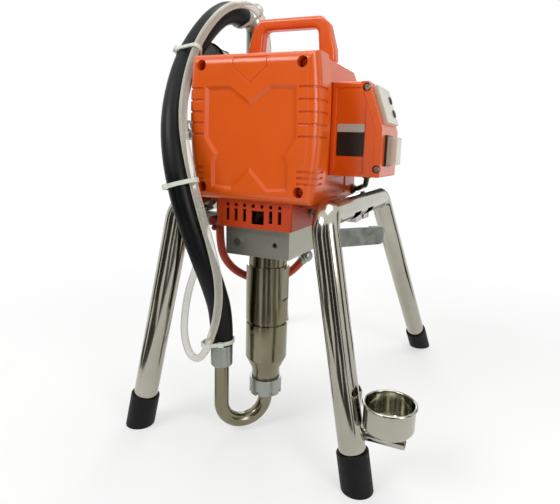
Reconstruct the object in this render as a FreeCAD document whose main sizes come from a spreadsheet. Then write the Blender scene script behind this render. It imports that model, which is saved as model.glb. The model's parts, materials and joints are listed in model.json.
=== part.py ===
import FreeCAD, Part
import Sketcher
import math
import os

# Airless paint sprayer on a four-legged stand.
# Design frame while the pieces are made: X to the right, Y to the back, Z up, floor at Z = 0,
# X = 0 in the middle plane of the machine. At the end every piece is moved so that the origin
# lies under the middle of the object's box, cords left out.

Vector = FreeCAD.Vector
doc = FreeCAD.newDocument("paint_sprayer")
sheet = doc.addObject("Spreadsheet::Sheet", "Sizes")

# Driving dimensions in millimetres (angles in degrees, counts as plain numbers).
SIZES = {
    # stand
    "leg_diameter": 28, "leg_wall": 1.5, "bar_height": 276, "bar_half_gap": 84, "foot_half_gap": 139,
    "bar_front": 171, "bar_back": 66, "foot_front": 186, "foot_back": 228, "bend_radius": 22,
    "cap_wall": 2.6, "cap_length": 42, "cap_base": 7, "cap_edge": 3, "fit_gap": 0.1,
    "punched_long": 28, "punched_tall": 9, "punched_front": 92, "punched_back": 36, "punched_drop": 8,
    "cross_width": 26, "cross_thickness": 14, "cross_drop": 8, "cross_front": 40, "cross_back": 4,
    "base_bolt_diameter": 6, "base_bolt_spread": 36, "base_head": 10, "base_head_height": 4,
    # drip cup and its bracket; bite, inset, set and reach are measured from the leg's centre
    "cup_radius": 25.5, "cup_wall": 1.5, "cup_rim_wire": 3.2, "cup_height": 28, "cup_reach": 36.2,
    "cup_set": 4.2, "cup_corner": 6, "cup_lift": 8.5, "cup_stud": 9, "arm_level": 55, "arm_diameter": 13, "arm_bite": 7.8,
    "arm_length": 61, "arm_set": 11.2, "arm_plug": 12, "stub_inset": 2.8, "stub_set": 21.2,
    "stub_diameter": 13.5, "stub_wall": 1.4, "stub_height": 56, "stub_slope": 40,
    # hose clip on the front leg
    "clip_height": 19, "clip_thickness": 1.8, "clip_length": 67, "clip_bend": 7, "clip_level": 252,
    "clip_set": 8, "clip_turn": 51,
    # pump
    "pump_back": 120, "cylinder_diameter": 50, "cylinder_bore": 30, "cylinder_length": 67,
    "neck_diameter": 44, "neck_reach": 20, "neck_show": 14, "flat_width": 46, "flat_inset": 3,
    "flat_length": 37, "groove_diameter": 45, "groove_height": 3, "intake_diameter": 49.5,
    "intake_length": 46, "cone_length": 16, "collar_diameter": 33.6, "collar_length": 19,
    "intake_bore": 20, "rod_diameter": 18, "tongue_drop": 22, "tongue_thickness": 9,
    "tongue_width": 16, "piston_height": 18, "piston_drop": 13, "packing_length": 26,
    "packing_rise": 8, "packing_rings": 4, "seat_rise": 7, "seat_height": 6, "seat_hole": 11,
    "intake_ball": 15, "piston_ball": 10, "piston_chamber": 13, "piston_port": 7, "piston_seat": 5,
    "nut_diameter": 39, "nut_height": 20, "nut_lap": 8, "nut_slots": 8, "nut_slot_width": 5,
    "nut_slot_depth": 3, "nut_slot_tall": 5, "running_gap": 0.08, "gap": 0.3,
    # suction tube, its ferrule and the hose
    "tube_diameter": 17, "tube_wall": 1.5, "arm_x": 38, "arm_forward": 40, "u_drop": 6.5,
    "tube_flange": 25, "tube_flange_height": 3, "ferrule_lift": 30, "ferrule_length": 26,
    "ferrule_diameter": 25.5, "ferrule_floor": 5, "ferrule_round": 3.2, "hose_diameter": 26,
    "hose_bore": 17, "drain_diameter": 9, "drain_bore": 6, "inlet_collar": 23,
    "inlet_collar_length": 11, "inlet_bend": 16, "inlet_drop": 40, "strainer_diameter": 34,
    "strainer_height": 60, "strainer_wall": 3, "strainer_rim": 12, "strainer_slots": 6,
    "strainer_slot": 4, "tie_width": 4.5, "tie_thickness": 1.4, "tie_gap": 0.4, "tie_head": 6.5,
    "tie_head_rise": 4, "tie_low": 5, "tie_middle": 192, "tie_high": 351, "tie_end": 4,
    # bearing block and guard
    "block_width": 78, "block_front": 150, "block_rear": 62, "block_height": 61,
    "cavity_width": 60, "cavity_front": 146, "cavity_back": 96, "cavity_floor": 22,
    "block_corner": 14, "block_hole": 5.5, "block_hole_depth": 12, "block_hole_half_gap": 22,
    "block_hole_rise": 15, "mouth_rise": 36, "port_back": 78, "port_rise": 4.5,
    "guard_width": 90, "guard_front": 160,
    "guard_wall": 2.5, "guard_back": 99, "guard_corner": 3, "guard_height": 30, "tab_back": 108,
    "tab_width": 12, "tab_drop": 12, "screw_reach": 9, "machine_screw": 5, "machine_head": 9,
    "machine_head_height": 3.4, "window_left": 2, "window_width": 15, "vent_pitch": 10.4,
    "vent_round": 4.2, "vent_drop": 5.5, "slot_drop": 9.5, "slot_length": 13.5, "slot_width": 4.2,
    # covers
    "cover_lead": 26, "cover_lap": 8, "cover_spread": 10, "cover_spread_low": 8,
    "cover_bulge": 6, "cover_lift": 2, "cover_lip": 5, "cover_wall": 4, "cover_edge": 12,
    "recess_depth": 2.2, "field_drop": 32, "field_rise": 11.5, "field_notch": 15.5, "field_peak": 20,
    "notch_half": 22, "peak_half": 20, "field_half_top": 51, "field_half_knee": 53, "field_waist": 41,
    "field_half_low": 44.5, "knee_drop": 51, "waist_rise": 36, "low_knee_rise": 28, "field_tilt": 1.5,
    "shield_half": 19.5, "shield_drop": 4.5, "shield_knee": 15, "shield_tip": 31, "shield_line": 1.4,
    "shield_deep": 0.7,
    "ear_offset": 1, "screw_inset_low": 15, "screw_inset_high": 6.5, "screw_well": 11,
    "screw_well_depth": 14, "screw_head": 9, "screw_shank": 5, "well_sink": 5, "ear_diameter": 13,
    "ear_reach": 6, "tap_depth": 12, "screw_end": 3, "groove_inset": 16, "groove_reach": 20,
    "groove_depth_run": 26, "groove_tall": 2.2, "groove_deep": 1.4, "groove_step": 11.6,
    "groove_rise": 67.4, "groove_rows": 5, "low_groove_rise": 21.5, "low_groove_step": 6,
    "low_groove_rows": 3, "housing_half": 60, "housing_back": 15, "housing_rise": 4,
    "housing_wall": 3, "housing_edge": 5, "housing_slope": 14, "slope_start": 12,
    "side_panel_front": 94, "side_panel_back": 27, "side_panel_rise": 7, "side_panel_tall": 20,
    "rear_vent_rise": 49, "rear_vent_tall": 65, "inlet_x": 36, "inlet_rise": 24,
    "vent_slot_width": 3.5, "vent_slot_step": 8, "tray_margin": 6, "tray_back": 20, "tray_ahead": 1,
    "tray_lip": 4, "tray_rise": 13, "tray_wall": 3, "pan_inset": 4, "pan_front": 60, "tray_edge": 1.5,
    "handle_inset": 4, "handle_narrowing": 9, "handle_rise": 50, "handle_bar": 12.5,
    "handle_post": 19, "handle_foot": 14, "handle_screw_x": 44, "handle_back": 70,
    "handle_depth": 17, "handle_edge": 4.5, "handle_corner": 9, "handle_step": 1, "post_lean": 3,
    "post_corner": 4,
    # control box
    "box_front": 95, "box_back": 12, "box_lift": 30, "box_reach": 58.5, "knee_rise": 52,
    "slope_rise": 48.5, "box_lean": 18, "box_wall": 3, "lid_thickness": 8, "box_edge": 3,
    "panel_inset": 6, "panel_right_inset": 10.5, "panel_depth": 1.4, "panel_margin": 4,
    "lid_edge": 2, "lid_pocket": 9, "lid_pocket_depth": 4.5, "key_edge": 1, "boot_edge": 2,
    "rocker_keel": 5, "rocker_hub": 5, "rocker_pin": 3, "pin_bite": 2,
    "cable_drop": 13, "lens_start": 6, "lens_length": 42,
    "lens_height": 5, "lens_wall": 1.6, "lens_front": 80, "lens_back": 22, "lens_bed": 0.8,
    "display_margin": 5, "switch_back": 64, "switch_drop": 23, "bezel_width": 28, "bezel_tall": 34,
    "bezel_thick": 2.5, "switch_lip": 2, "switch_depth": 22, "rocker_width": 16, "rocker_tall": 26,
    "rocker_drop": 7, "boot_depth": 11, "boot_wall": 1.2, "lid_screw_head": 6.5,
    "lid_screw_inset": 6, "key_diameter": 9, "key_back": 33, "key_step": 16, "key_proud": 1.6,
    "key_travel": 0.8, "key_post": 4, "board_thickness": 1.6, "board_trim": 2,
    "cable_diameter": 6.5, "gland_diameter": 13, "gland_length": 4.5, "gland_offset": 28,
    "gland_back": 30, "grommet_y": 6, "grommet_rise": 9,
    # drive
    "pin_reach": 1.5, "rod_slot_half": 30, "slot_margin": 4.5, "magnet_gap": 23, "magnet_length": 36,
    "magnet_bore": 54, "seal_line": 3, "seal_deep": 0.6, "crank_rise": 59,
    "crank_throw": 14, "crank_pin": 14, "crank_journal": 17,
    "web_radius": 27, "web_gap": 5, "web_thickness": 7, "web_clear": 1, "con_rod_thickness": 10.5,
    "con_rod_gap": 1.5, "eye_radius": 10.5, "big_eye_radius": 13, "wrist_pin": 9, "wrist_drop": 82,
    "pin_gap": 0.4, "case_gap": 5, "drive_lead": 9.5, "drive_rise": 86, "drive_wall": 5,
    "mid_wall": 8, "crank_bearing_od": 35, "gear_clear": 0.5, "gear_width": 10, "gear_spacer": 2,
    "second_width": 8, "rear_clear": 3.5, "gear_module": 1.75, "crank_teeth": 40,
    "idler_small_teeth": 12, "fine_module": 1, "idler_teeth": 38, "pinion_teeth": 12,
    "backlash": 0.25, "idler_pin": 9, "gear_holes": 6, "motor_rise": 23, "motor_diameter": 100,
    "motor_back": 4, "motor_wall": 4, "motor_shaft": 8, "motor_bearing_od": 22,
    "motor_bearing_width": 7, "rotor_diameter": 52, "rotor_slots": 12, "rotor_slot": 3,
    "fan_diameter": 84, "fan_width": 6, "fan_blades": 9, "fan_disc": 1.5, "fan_hub": 18, "blade_wall": 1.6,
    "blade_root": 2, "blade_short": 1,
    # filter column, gauge and valve on the left
    "column_offset": 38, "column_back": 88, "column_diameter": 36, "manifold_height": 26.5,
    "column_length": 74, "column_wall": 5, "column_floor": 6, "column_roof": 10, "manifold_half": 16,
    "bar_clearance": 1.5, "riser": 8, "riser_out": 5.5, "cap_rise": 12, "cap_drop": 2,
    "lug_height": 24, "gauge_rise": 42, "gauge_diameter": 50, "gauge_depth": 16, "gauge_stem": 12,
    "gauge_wall": 2.4, "gauge_room": 9, "lens_sink": 3.5, "needle_pin": 2.4, "needle_thick": 1,
    "needle_length": 17, "needle_wide": 1.4, "needle_tail": 5, "needle_rest": 45, "valve_reach": 28.5,
    "valve_half": 7.5, "valve_gap": 1, "valve_stem": 5, "knob_diameter": 11, "knob_length": 9,
    "knob_edge": 1.5, "knob_face": 2.5, "lever_rod": 3, "lever_reach": 9, "lever_ball": 7,
    "drain_offset": 22.5, "barb_drop": 6, "barb_length": 10, "link_diameter": 10, "link_ferrule": 13.5,
    "link_ferrule_length": 15, "link_end_length": 11, "elbow_ball": 16, "elbow_drop": 8.5, "elbow_x": 31,
    "elbow_lean": 38, "elbow_nose": 12, "elbow_reach": 9, "elbow_stem": 10,
    "outlet_radius": 6.6, "outlet_boss": 6, "outlet_length": 14, "outlet_rise": 34,
}

# Places and sizes that follow from the driving dimensions, as formulas of the sheet.
PLACES = {
    "riser_x": "housing_half + riser_out", "drive_half": "housing_half - case_gap",
    "screw_half_x": "drive_half + ear_offset", "cover_half_top": "housing_half + cover_spread",
    "cover_half_bottom": "housing_half + cover_spread_low", "pan_half": "housing_half - pan_inset",
    "cross_top": "bar_height - cross_drop",
    "tray_top": "cross_top + tray_rise",
    "leg_out": "foot_half_gap - (foot_half_gap - bar_half_gap) * arm_level / bar_height",
    "leg_forward": "foot_front - (foot_front - bar_front) * arm_level / bar_height",
    "arm_start": "leg_out - arm_bite", "arm_forward_y": "leg_forward - arm_set",
    "stub_x": "leg_out - stub_inset", "stub_y": "leg_forward - stub_set",
    "cup_x": "leg_out + cup_reach", "cup_y": "leg_forward - cup_set",
    "block_top": "tray_top", "block_bottom": "block_top - block_height",
    "cavity_level": "block_bottom + cavity_floor", "block_hole_height": "block_bottom + block_hole_rise",
    "tab_height": "block_top - tab_drop",
    "neck_top": "block_bottom + neck_reach", "cylinder_top": "block_bottom - neck_show",
    "cylinder_bottom": "cylinder_top - cylinder_length", "flat_high": "cylinder_top - flat_inset",
    "flat_low": "flat_high - flat_length", "packing_top": "cylinder_top + packing_rise",
    "packing_bottom": "packing_top - packing_length",
    "intake_cone_top": "cylinder_bottom - intake_length",
    "intake_cone_bottom": "intake_cone_top - cone_length",
    "collar_bottom": "intake_cone_bottom - collar_length", "seat_bottom": "intake_cone_top + seat_rise",
    "tongue_start": "neck_top - tongue_drop", "piston_bottom": "cylinder_bottom - piston_drop",
    "nut_top": "collar_bottom + nut_lap", "nut_bottom": "nut_top - nut_height",
    "u_start": "nut_bottom - u_drop", "ferrule_bottom": "collar_bottom + ferrule_lift",
    "ferrule_top": "ferrule_bottom + ferrule_length",
    "crank_height": "tray_top + crank_rise", "wrist_height": "crank_height - wrist_drop",
    "motor_height": "crank_height + motor_rise", "drive_bottom": "tray_top",
    "drive_top": "crank_height + drive_rise",
    "con_rod_front": "pump_back + tongue_thickness / 2 + con_rod_gap + con_rod_thickness",
    "web_front": "con_rod_front - con_rod_thickness - web_gap",
    "mid_front": "web_front - web_thickness - web_clear", "mid_back": "mid_front - mid_wall",
    "gear_front": "mid_back - gear_clear", "second_front": "gear_front - gear_width - gear_spacer",
    "drive_back": "second_front - second_width - rear_clear",
    "drive_front": "con_rod_front + drive_lead", "rod_slot_front": "con_rod_front + slot_margin",
    "magnet_front": "drive_back - magnet_gap", "magnet_back": "magnet_front - magnet_length",
    "cover_front": "drive_front + cover_lead", "cover_back": "drive_front - cover_lap",
    "cover_bottom": "drive_bottom + cover_lift", "cover_top": "drive_top + cover_lip",
    "screw_low": "drive_bottom + screw_inset_low", "screw_high": "drive_top - screw_inset_high",
    "groove_from": "cover_half_top - groove_inset", "groove_to": "cover_half_top + groove_reach",
    "groove_back": "cover_front - groove_depth_run", "groove_first": "cover_bottom + groove_rise",
    "low_groove_first": "cover_bottom + low_groove_rise",
    "field_top": "cover_top - field_drop", "field_low": "cover_bottom + field_rise",
    "guard_top": "cover_bottom", "guard_bottom": "guard_top - guard_height",
    "vent_row": "guard_top - vent_drop", "slot_high": "guard_top - slot_drop",
    "slot_low": "slot_high - slot_length",
    "housing_top": "cover_top + housing_rise", "side_panel_low": "tray_top + side_panel_rise",
    "side_panel_high": "side_panel_low + side_panel_tall", "rear_vent_low": "tray_top + rear_vent_rise",
    "rear_vent_high": "rear_vent_low + rear_vent_tall", "inlet_height": "tray_top + inlet_rise",
    "tray_half": "housing_half + tray_margin", "tray_front": "cover_back + tray_ahead",
    "handle_base_half": "housing_half - handle_inset",
    "handle_top_half": "handle_base_half - handle_narrowing", "handle_top": "housing_top + handle_rise",
    "box_bottom": "tray_top + box_lift", "box_right": "housing_half + box_reach",
    "box_knee": "box_bottom + knee_rise", "box_top": "box_knee + slope_rise",
    "box_top_right": "box_right - box_lean", "switch_height": "box_knee - switch_drop",
    "gland_x": "housing_half + gland_offset", "cable_sag": "box_bottom - cable_drop",
    "grommet_z": "tray_top + grommet_rise",
    "manifold_bottom": "bar_height + leg_diameter / 2 + bar_clearance",
    "column_bottom": "manifold_bottom + manifold_height", "column_top": "column_bottom + column_length",
    "column_x": "housing_half + column_offset", "gauge_height": "column_top + gauge_rise",
    "outlet_height": "column_bottom + outlet_rise", "riser_y": "pump_back",
    "valve_top": "bar_height - leg_diameter / 2 - valve_gap", "valve_left": "riser_x + valve_reach",
    "drain_x": "riser_x + drain_offset", "drain_top": "valve_top - 2 * valve_half - barb_drop",
    "cap_seat": "cap_base + leg_diameter / 5", "panel_left": "housing_half + panel_inset",
    "panel_right": "box_right - lid_thickness - panel_right_inset", "mouth_low": "block_bottom + mouth_rise",
    "rod_slot_back": "mid_front + web_clear / 2",
}

rows = list(SIZES.items()) + [(alias, "=" + formula) for alias, formula in PLACES.items()]
for row, (alias, content) in enumerate(rows, start=1):
    sheet.set("A%d" % row, alias)
    sheet.set("B%d" % row, str(content))
    sheet.setAlias("B%d" % row, alias)
doc.recompute()


class Dim:
    """A size that keeps its value and the sheet formula that gives it."""

    def __init__(self, value, text):
        self.value = float(value)
        self.text = text

    @staticmethod
    def of(other):
        return other if isinstance(other, Dim) else Dim(other, repr(float(other)))

    def __add__(self, other):
        other = Dim.of(other)
        return Dim(self.value + other.value, "(%s + %s)" % (self.text, other.text))

    def __radd__(self, other):
        return Dim.of(other) + self

    def __sub__(self, other):
        other = Dim.of(other)
        return Dim(self.value - other.value, "(%s - %s)" % (self.text, other.text))

    def __rsub__(self, other):
        return Dim.of(other) - self

    def __mul__(self, other):
        other = Dim.of(other)
        return Dim(self.value * other.value, "(%s * %s)" % (self.text, other.text))

    def __rmul__(self, other):
        return Dim.of(other) * self

    def __truediv__(self, other):
        other = Dim.of(other)
        return Dim(self.value / other.value, "(%s / %s)" % (self.text, other.text))

    def __neg__(self):
        return Dim(-self.value, "(0 - %s)" % self.text)

    def __float__(self):
        return self.value


class Sizes:
    """Gives each sheet alias as a Dim."""

    def __getattr__(self, alias):
        return Dim(getattr(sheet, alias), "Sizes.%s" % alias)


S = Sizes()
NODES = {}
CORD_NODES = ("suction_hose", "suction_strainer", "drain_tube", "cable_ties")


def number(size):
    return float(size)


def point(x, y, z):
    return Vector(number(x), number(y), number(z))


def bind(target, name, size):
    """Sets a property and ties it to the sheet where the size has a formula."""
    size = Dim.of(size)
    target.setExpression(name, size.text)


def place(target, x, y, z, rotation=None):
    target.Placement = FreeCAD.Placement(point(x, y, z), rotation or FreeCAD.Rotation())
    bind(target, "Placement.Base.x", x)
    bind(target, "Placement.Base.y", y)
    bind(target, "Placement.Base.z", z)
    return target


def turned(target, rotation, x, y, z):
    """Places a piece by numbers, where a turn leaves no single size to tie it to."""
    for axis in ("x", "y", "z"):
        target.setExpression("Placement.Base." + axis, None)
    target.Placement = FreeCAD.Placement(point(x, y, z), rotation)
    return target


TURN = {
    "z": FreeCAD.Rotation(),
    "x": FreeCAD.Rotation(Vector(0, 1, 0), 90),
    "y": FreeCAD.Rotation(Vector(1, 0, 0), -90),
}


def rod(name, diameter, length, x, y, z, along="z"):
    """A round bar that starts at x, y, z and runs along one axis."""
    piece = doc.addObject("Part::Cylinder", name)
    bind(piece, "Radius", Dim.of(diameter) / 2)
    bind(piece, "Height", length)
    return place(piece, x, y, z, TURN[along])


def cone(name, low_diameter, high_diameter, length, x, y, z, along="z"):
    piece = doc.addObject("Part::Cone", name)
    bind(piece, "Radius1", Dim.of(low_diameter) / 2)
    bind(piece, "Radius2", Dim.of(high_diameter) / 2)
    bind(piece, "Height", length)
    return place(piece, x, y, z, TURN[along])


def slab(name, x_low, x_high, y_low, y_high, z_low, z_high):
    """A block between two corners."""
    piece = doc.addObject("Part::Box", name)
    bind(piece, "Length", Dim.of(x_high) - x_low)
    bind(piece, "Width", Dim.of(y_high) - y_low)
    bind(piece, "Height", Dim.of(z_high) - z_low)
    return place(piece, x_low, y_low, z_low)


def ball(name, diameter, x, y, z):
    piece = doc.addObject("Part::Sphere", name)
    bind(piece, "Radius", Dim.of(diameter) / 2)
    return place(piece, x, y, z)


def cut(name, base, *tools):
    piece = doc.addObject("Part::Cut", name)
    piece.Base = base
    piece.Tool = tools[0] if len(tools) == 1 else join(name + "_tools", *tools)
    return piece


def join(name, *pieces):
    piece = doc.addObject("Part::MultiFuse", name)
    piece.Shapes = list(pieces)
    return piece


def group(name, *pieces):
    """Separate solids that share one node."""
    piece = doc.addObject("Part::Compound", name)
    piece.Links = list(pieces)
    return piece


def soften(name, base, radius, wanted, kind="Part::Fillet"):
    """Rounds or bevels the edges of base for which wanted(edge) is true."""
    doc.recompute()
    radius = number(radius)
    chosen = [
        (index, radius, radius)
        for index, edge in enumerate(base.Shape.Edges, start=1)
        if edge.Length > 0.01 and wanted(edge)
    ]
    if not chosen:
        raise ValueError("no edge to round on " + name)
    piece = doc.addObject(kind, name)
    piece.Base = base
    piece.Edges = chosen
    return piece


def solid(name, shape):
    piece = doc.addObject("Part::Feature", name)
    piece.Shape = shape
    return piece


def node(label, piece):
    """Registers the finished sub-part under its node name."""
    piece.Label = label
    NODES[label] = piece
    return piece


def sketch_on(body, name, plane_role, offset):
    plane = [f for f in body.Origin.OriginFeatures if f.Role == plane_role][0]
    sketch = body.newObject("Sketcher::SketchObject", name)
    sketch.AttachmentSupport = (plane, [""])
    sketch.MapMode = "FlatFace"
    sketch.setExpression("AttachmentOffset.Base.z", Dim.of(offset).text)
    return sketch


def draw_outline(sketch, points, arcs=None):
    """A closed outline. arcs maps a side's number to its bulge away from the chord."""
    arcs = arcs or {}
    count = len(points)
    flat = [Vector(number(a), number(b), 0) for a, b in points]
    first = sketch.GeometryCount
    for side in range(count):
        start, end = flat[side], flat[(side + 1) % count]
        if side in arcs:
            bulge = number(arcs[side])
            across = (end - start).cross(Vector(0, 0, 1)).normalize()
            middle = (start + end) * 0.5 + across * bulge
            sketch.addGeometry(Part.Arc(start, middle, end))
        else:
            sketch.addGeometry(Part.LineSegment(start, end))
    ends = []
    for side in range(count):
        geometry = sketch.Geometry[first + side]
        forward = True
        if side in arcs:
            forward = geometry.StartPoint.distanceToPoint(flat[side]) < 1e-6
        ends.append((1, 2) if forward else (2, 1))
    for side in range(count):
        after = (side + 1) % count
        sketch.addConstraint(
            Sketcher.Constraint("Coincident", first + side, ends[side][1], first + after, ends[after][0])
        )
    for side, (a, b) in enumerate(points):
        for kind, size in (("DistanceX", a), ("DistanceY", b)):
            index = sketch.addConstraint(
                Sketcher.Constraint(kind, -1, 1, first + side, ends[side][0], number(size))
            )
            sketch.setExpression("Constraints[%d]" % index, Dim.of(size).text)
    for side, bulge in arcs.items():
        across, up = [Dim.of(end) - start for end, start in zip(points[(side + 1) % count], points[side])]
        bulge = Dim.of(bulge)
        radius = ((across * across + up * up) / 4 + bulge * bulge) / (2 * bulge)
        index = sketch.addConstraint(Sketcher.Constraint("Radius", first + side, number(radius)))
        sketch.setExpression("Constraints[%d]" % index, radius.text)
    return sketch


def plate(name, plane_role, offset, depth, *outlines, **options):
    """A PartDesign body: outlines on one plane, padded by depth along the plane's normal."""
    body = doc.addObject("PartDesign::Body", name)
    sketch = sketch_on(body, name + "_outline", plane_role, offset)
    for outline in outlines:
        draw_outline(sketch, outline, options.get("arcs"))
    pad = body.newObject("PartDesign::Pad", name + "_pad")
    pad.Profile = sketch
    bind(pad, "Length", depth)
    return body


def route_wire(points, radius_share=0.45):
    """Straight runs joined by tangent arcs, as large as the two runs at each point allow."""
    edges = []
    radii = []
    here = points[0]
    for index in range(1, len(points) - 1):
        before = points[index - 1] - points[index]
        after = points[index + 1] - points[index]
        reach = radius_share * min(before.Length, after.Length)
        turn = math.pi - before.getAngle(after)
        radii.append(reach / math.tan(turn / 2))
        to_before = Vector(before).normalize()
        to_after = Vector(after).normalize()
        start = points[index] + to_before * reach
        end = points[index] + to_after * reach
        bisector = (to_before + to_after).normalize()
        depth = radii[-1] / math.cos(turn / 2) - radii[-1]
        middle = points[index] + bisector * depth
        edges.append(Part.LineSegment(here, start).toShape())
        edges.append(Part.Arc(start, middle, end).toShape())
        here = end
    edges.append(Part.LineSegment(here, points[-1]).toShape())
    return Part.Wire(edges), radii


def swept(wire, radius):
    """A round section swept along a wire."""
    start = wire.Edges[0].valueAt(wire.Edges[0].FirstParameter)
    direction = wire.Edges[0].tangentAt(wire.Edges[0].FirstParameter)
    circle = Part.Wire([Part.Circle(start, direction, radius).toShape()])
    return wire.makePipeShell([circle], True, True)


def hose_solid(name, points, outer, bore=0.0):
    """A hose along its route; prints its radii and compares volume with section times length."""
    wire, radii = route_wire(points)
    shape = swept(wire, outer / 2)
    section = math.pi * outer ** 2 / 4
    if bore:
        shape = shape.cut(swept(wire, bore / 2))
        section -= math.pi * bore ** 2 / 4
    expected = section * wire.Length
    print("%s length %.1f volume ratio %.5f least radius %.1f radii %s" % (
        name, wire.Length, shape.Volume / expected, min(radii), " ".join("%.0f" % r for r in radii)))
    if abs(shape.Volume / expected - 1) > 0.01:
        raise ValueError(name + " has a wrong volume")
    return solid(name, shape)


# Stand: two bent tubes, two cross bars, four rubber feet.
def leg_points(side):
    """Front foot, front bend, rear bend and rear foot of one frame."""
    gap, foot = side * number(S.bar_half_gap), side * number(S.foot_half_gap)
    height = number(S.bar_height)
    return [
        Vector(foot, -number(S.foot_front), 0),
        Vector(gap, -number(S.bar_front), height),
        Vector(gap, number(S.bar_back), height),
        Vector(foot, number(S.foot_back), 0),
    ]


def frame_wire(side):
    """The frame's centre line, from just above one rubber base to the other."""
    foot, bend, rear_bend, rear_foot = leg_points(side)
    lift = number(S.cap_seat)
    start = foot + (bend - foot) * (lift / bend.z)
    end = rear_foot + (rear_bend - rear_foot) * (lift / rear_bend.z)
    corners = [start, bend, rear_bend, end]
    edges = []
    here = start
    for index in (1, 2):
        to_before = Vector(corners[index - 1] - corners[index]).normalize()
        to_after = Vector(corners[index + 1] - corners[index]).normalize()
        half_turn = (math.pi - to_before.getAngle(to_after)) / 2
        radius = number(S.bend_radius)
        reach = radius * math.tan(half_turn)
        enter = corners[index] + to_before * reach
        leave = corners[index] + to_after * reach
        inward = (to_before + to_after).normalize()
        middle = corners[index] + inward * (radius / math.cos(half_turn) - radius)
        edges.append(Part.LineSegment(here, enter).toShape())
        edges.append(Part.Arc(enter, middle, leave).toShape())
        here = leave
    edges.append(Part.LineSegment(here, end).toShape())
    return Part.Wire(edges)


def frame_space(name, side, clearance):
    """The room that a frame's tube takes, with a clearance round it."""
    return solid(name, swept(frame_wire(side), number(S.leg_diameter) / 2 + number(clearance)))


def frame(side, word):
    wire = frame_wire(side)
    outer = swept(wire, number(S.leg_diameter) / 2)
    inner = swept(wire, number(S.leg_diameter) / 2 - number(S.leg_wall))
    tube = solid("tube_" + word, outer.cut(inner))
    slots = []
    for index, place_back in enumerate((S.punched_front, S.punched_back)):
        outside = S.bar_half_gap + S.leg_diameter / 2
        low, high = (S.bar_half_gap, outside) if side > 0 else (-outside, -S.bar_half_gap)
        slots.append(slab("slot_%s_%d" % (word, index), low, high, -place_back - S.punched_long / 2,
                          -place_back + S.punched_long / 2,
                          S.bar_height - S.punched_drop - S.punched_tall / 2,
                          S.bar_height - S.punched_drop + S.punched_tall / 2))
    node("frame_" + word, cut("punched_" + word, tube, *slots))


def foot(side, front, label):
    """A rubber cap on a leg's end, cut flat on the floor."""
    points = leg_points(side)
    low, high = (points[0], points[1]) if front else (points[3], points[2])
    along = Vector(high - low).normalize()
    tube_radius = number(S.leg_diameter) / 2 + number(S.fit_gap)
    radius = tube_radius + number(S.cap_wall)
    body = Part.makeCylinder(radius, number(S.cap_length) * 2, low - along * number(S.cap_length), along)
    ring = [edge for edge in body.Edges if edge.Length < 2.5 * math.pi * radius and edge.Closed
            and edge.BoundBox.ZMin > 0]
    body = body.makeFillet(number(S.cap_edge) / 2, ring[:1])
    lift = (number(S.cap_seat) - number(S.fit_gap)) / along.z
    bore = Part.makeCylinder(tube_radius, number(S.cap_length) * 2, low + along * lift, along)
    size = number(S.cap_length) * 4
    floor = Part.makeBox(size, size, size, Vector(low.x - size / 2, low.y - size / 2, -size))
    node(label, solid(label + "_shape", body.cut(bore).cut(floor)))


def cross_bars():
    """Two bars under the machine, coped to the frames' tubes and drilled for the base bolts."""
    hollow = S.leg_diameter + 2 * S.fit_gap
    copes = [rod("cope_%d" % side, hollow, S.bar_front + S.bar_back, side * S.bar_half_gap,
                 -S.bar_front, S.bar_height, "y") for side in (-1, 1)]
    bars = []
    for index, middle in enumerate((-S.cross_front, -S.cross_back)):
        bar = slab("bar_%d" % index, -S.bar_half_gap, S.bar_half_gap, middle - S.cross_width / 2,
                   middle + S.cross_width / 2, S.cross_top - S.cross_thickness, S.cross_top)
        holes = [rod("bolt_hole_%d_%d" % (index, side), S.base_bolt_diameter + 2 * S.fit_gap,
                     S.cross_thickness + 2, side * S.base_bolt_spread, middle,
                     S.cross_top - S.cross_thickness - 1) for side in (-1, 1)]
        bars.append(cut("coped_bar_%d" % index, bar, *(copes + holes)))
    node("cross_bars", group("cross_bar_pair", *bars))


def base_bolts():
    """Hexagon bolts up through the cross bars into the tray."""
    bolts = []
    for index, middle in enumerate((-S.cross_front, -S.cross_back)):
        for side in (-1, 1):
            tag = "%d_%d" % (index, side + 1)
            under = S.cross_top - S.cross_thickness
            head = doc.addObject("Part::Prism", "bolt_head_" + tag)
            head.Polygon = 6
            bind(head, "Circumradius", S.base_head / 2)
            bind(head, "Height", S.base_head_height)
            place(head, side * S.base_bolt_spread, middle, under - S.base_head_height)
            shank = rod("bolt_shank_" + tag, S.base_bolt_diameter, S.cross_thickness + S.tray_wall + S.screw_end,
                        side * S.base_bolt_spread, middle, under)
            bolts.append(join("bolt_" + tag, head, shank))
    node("base_bolts", group("base_bolt_set", *bolts))


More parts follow.
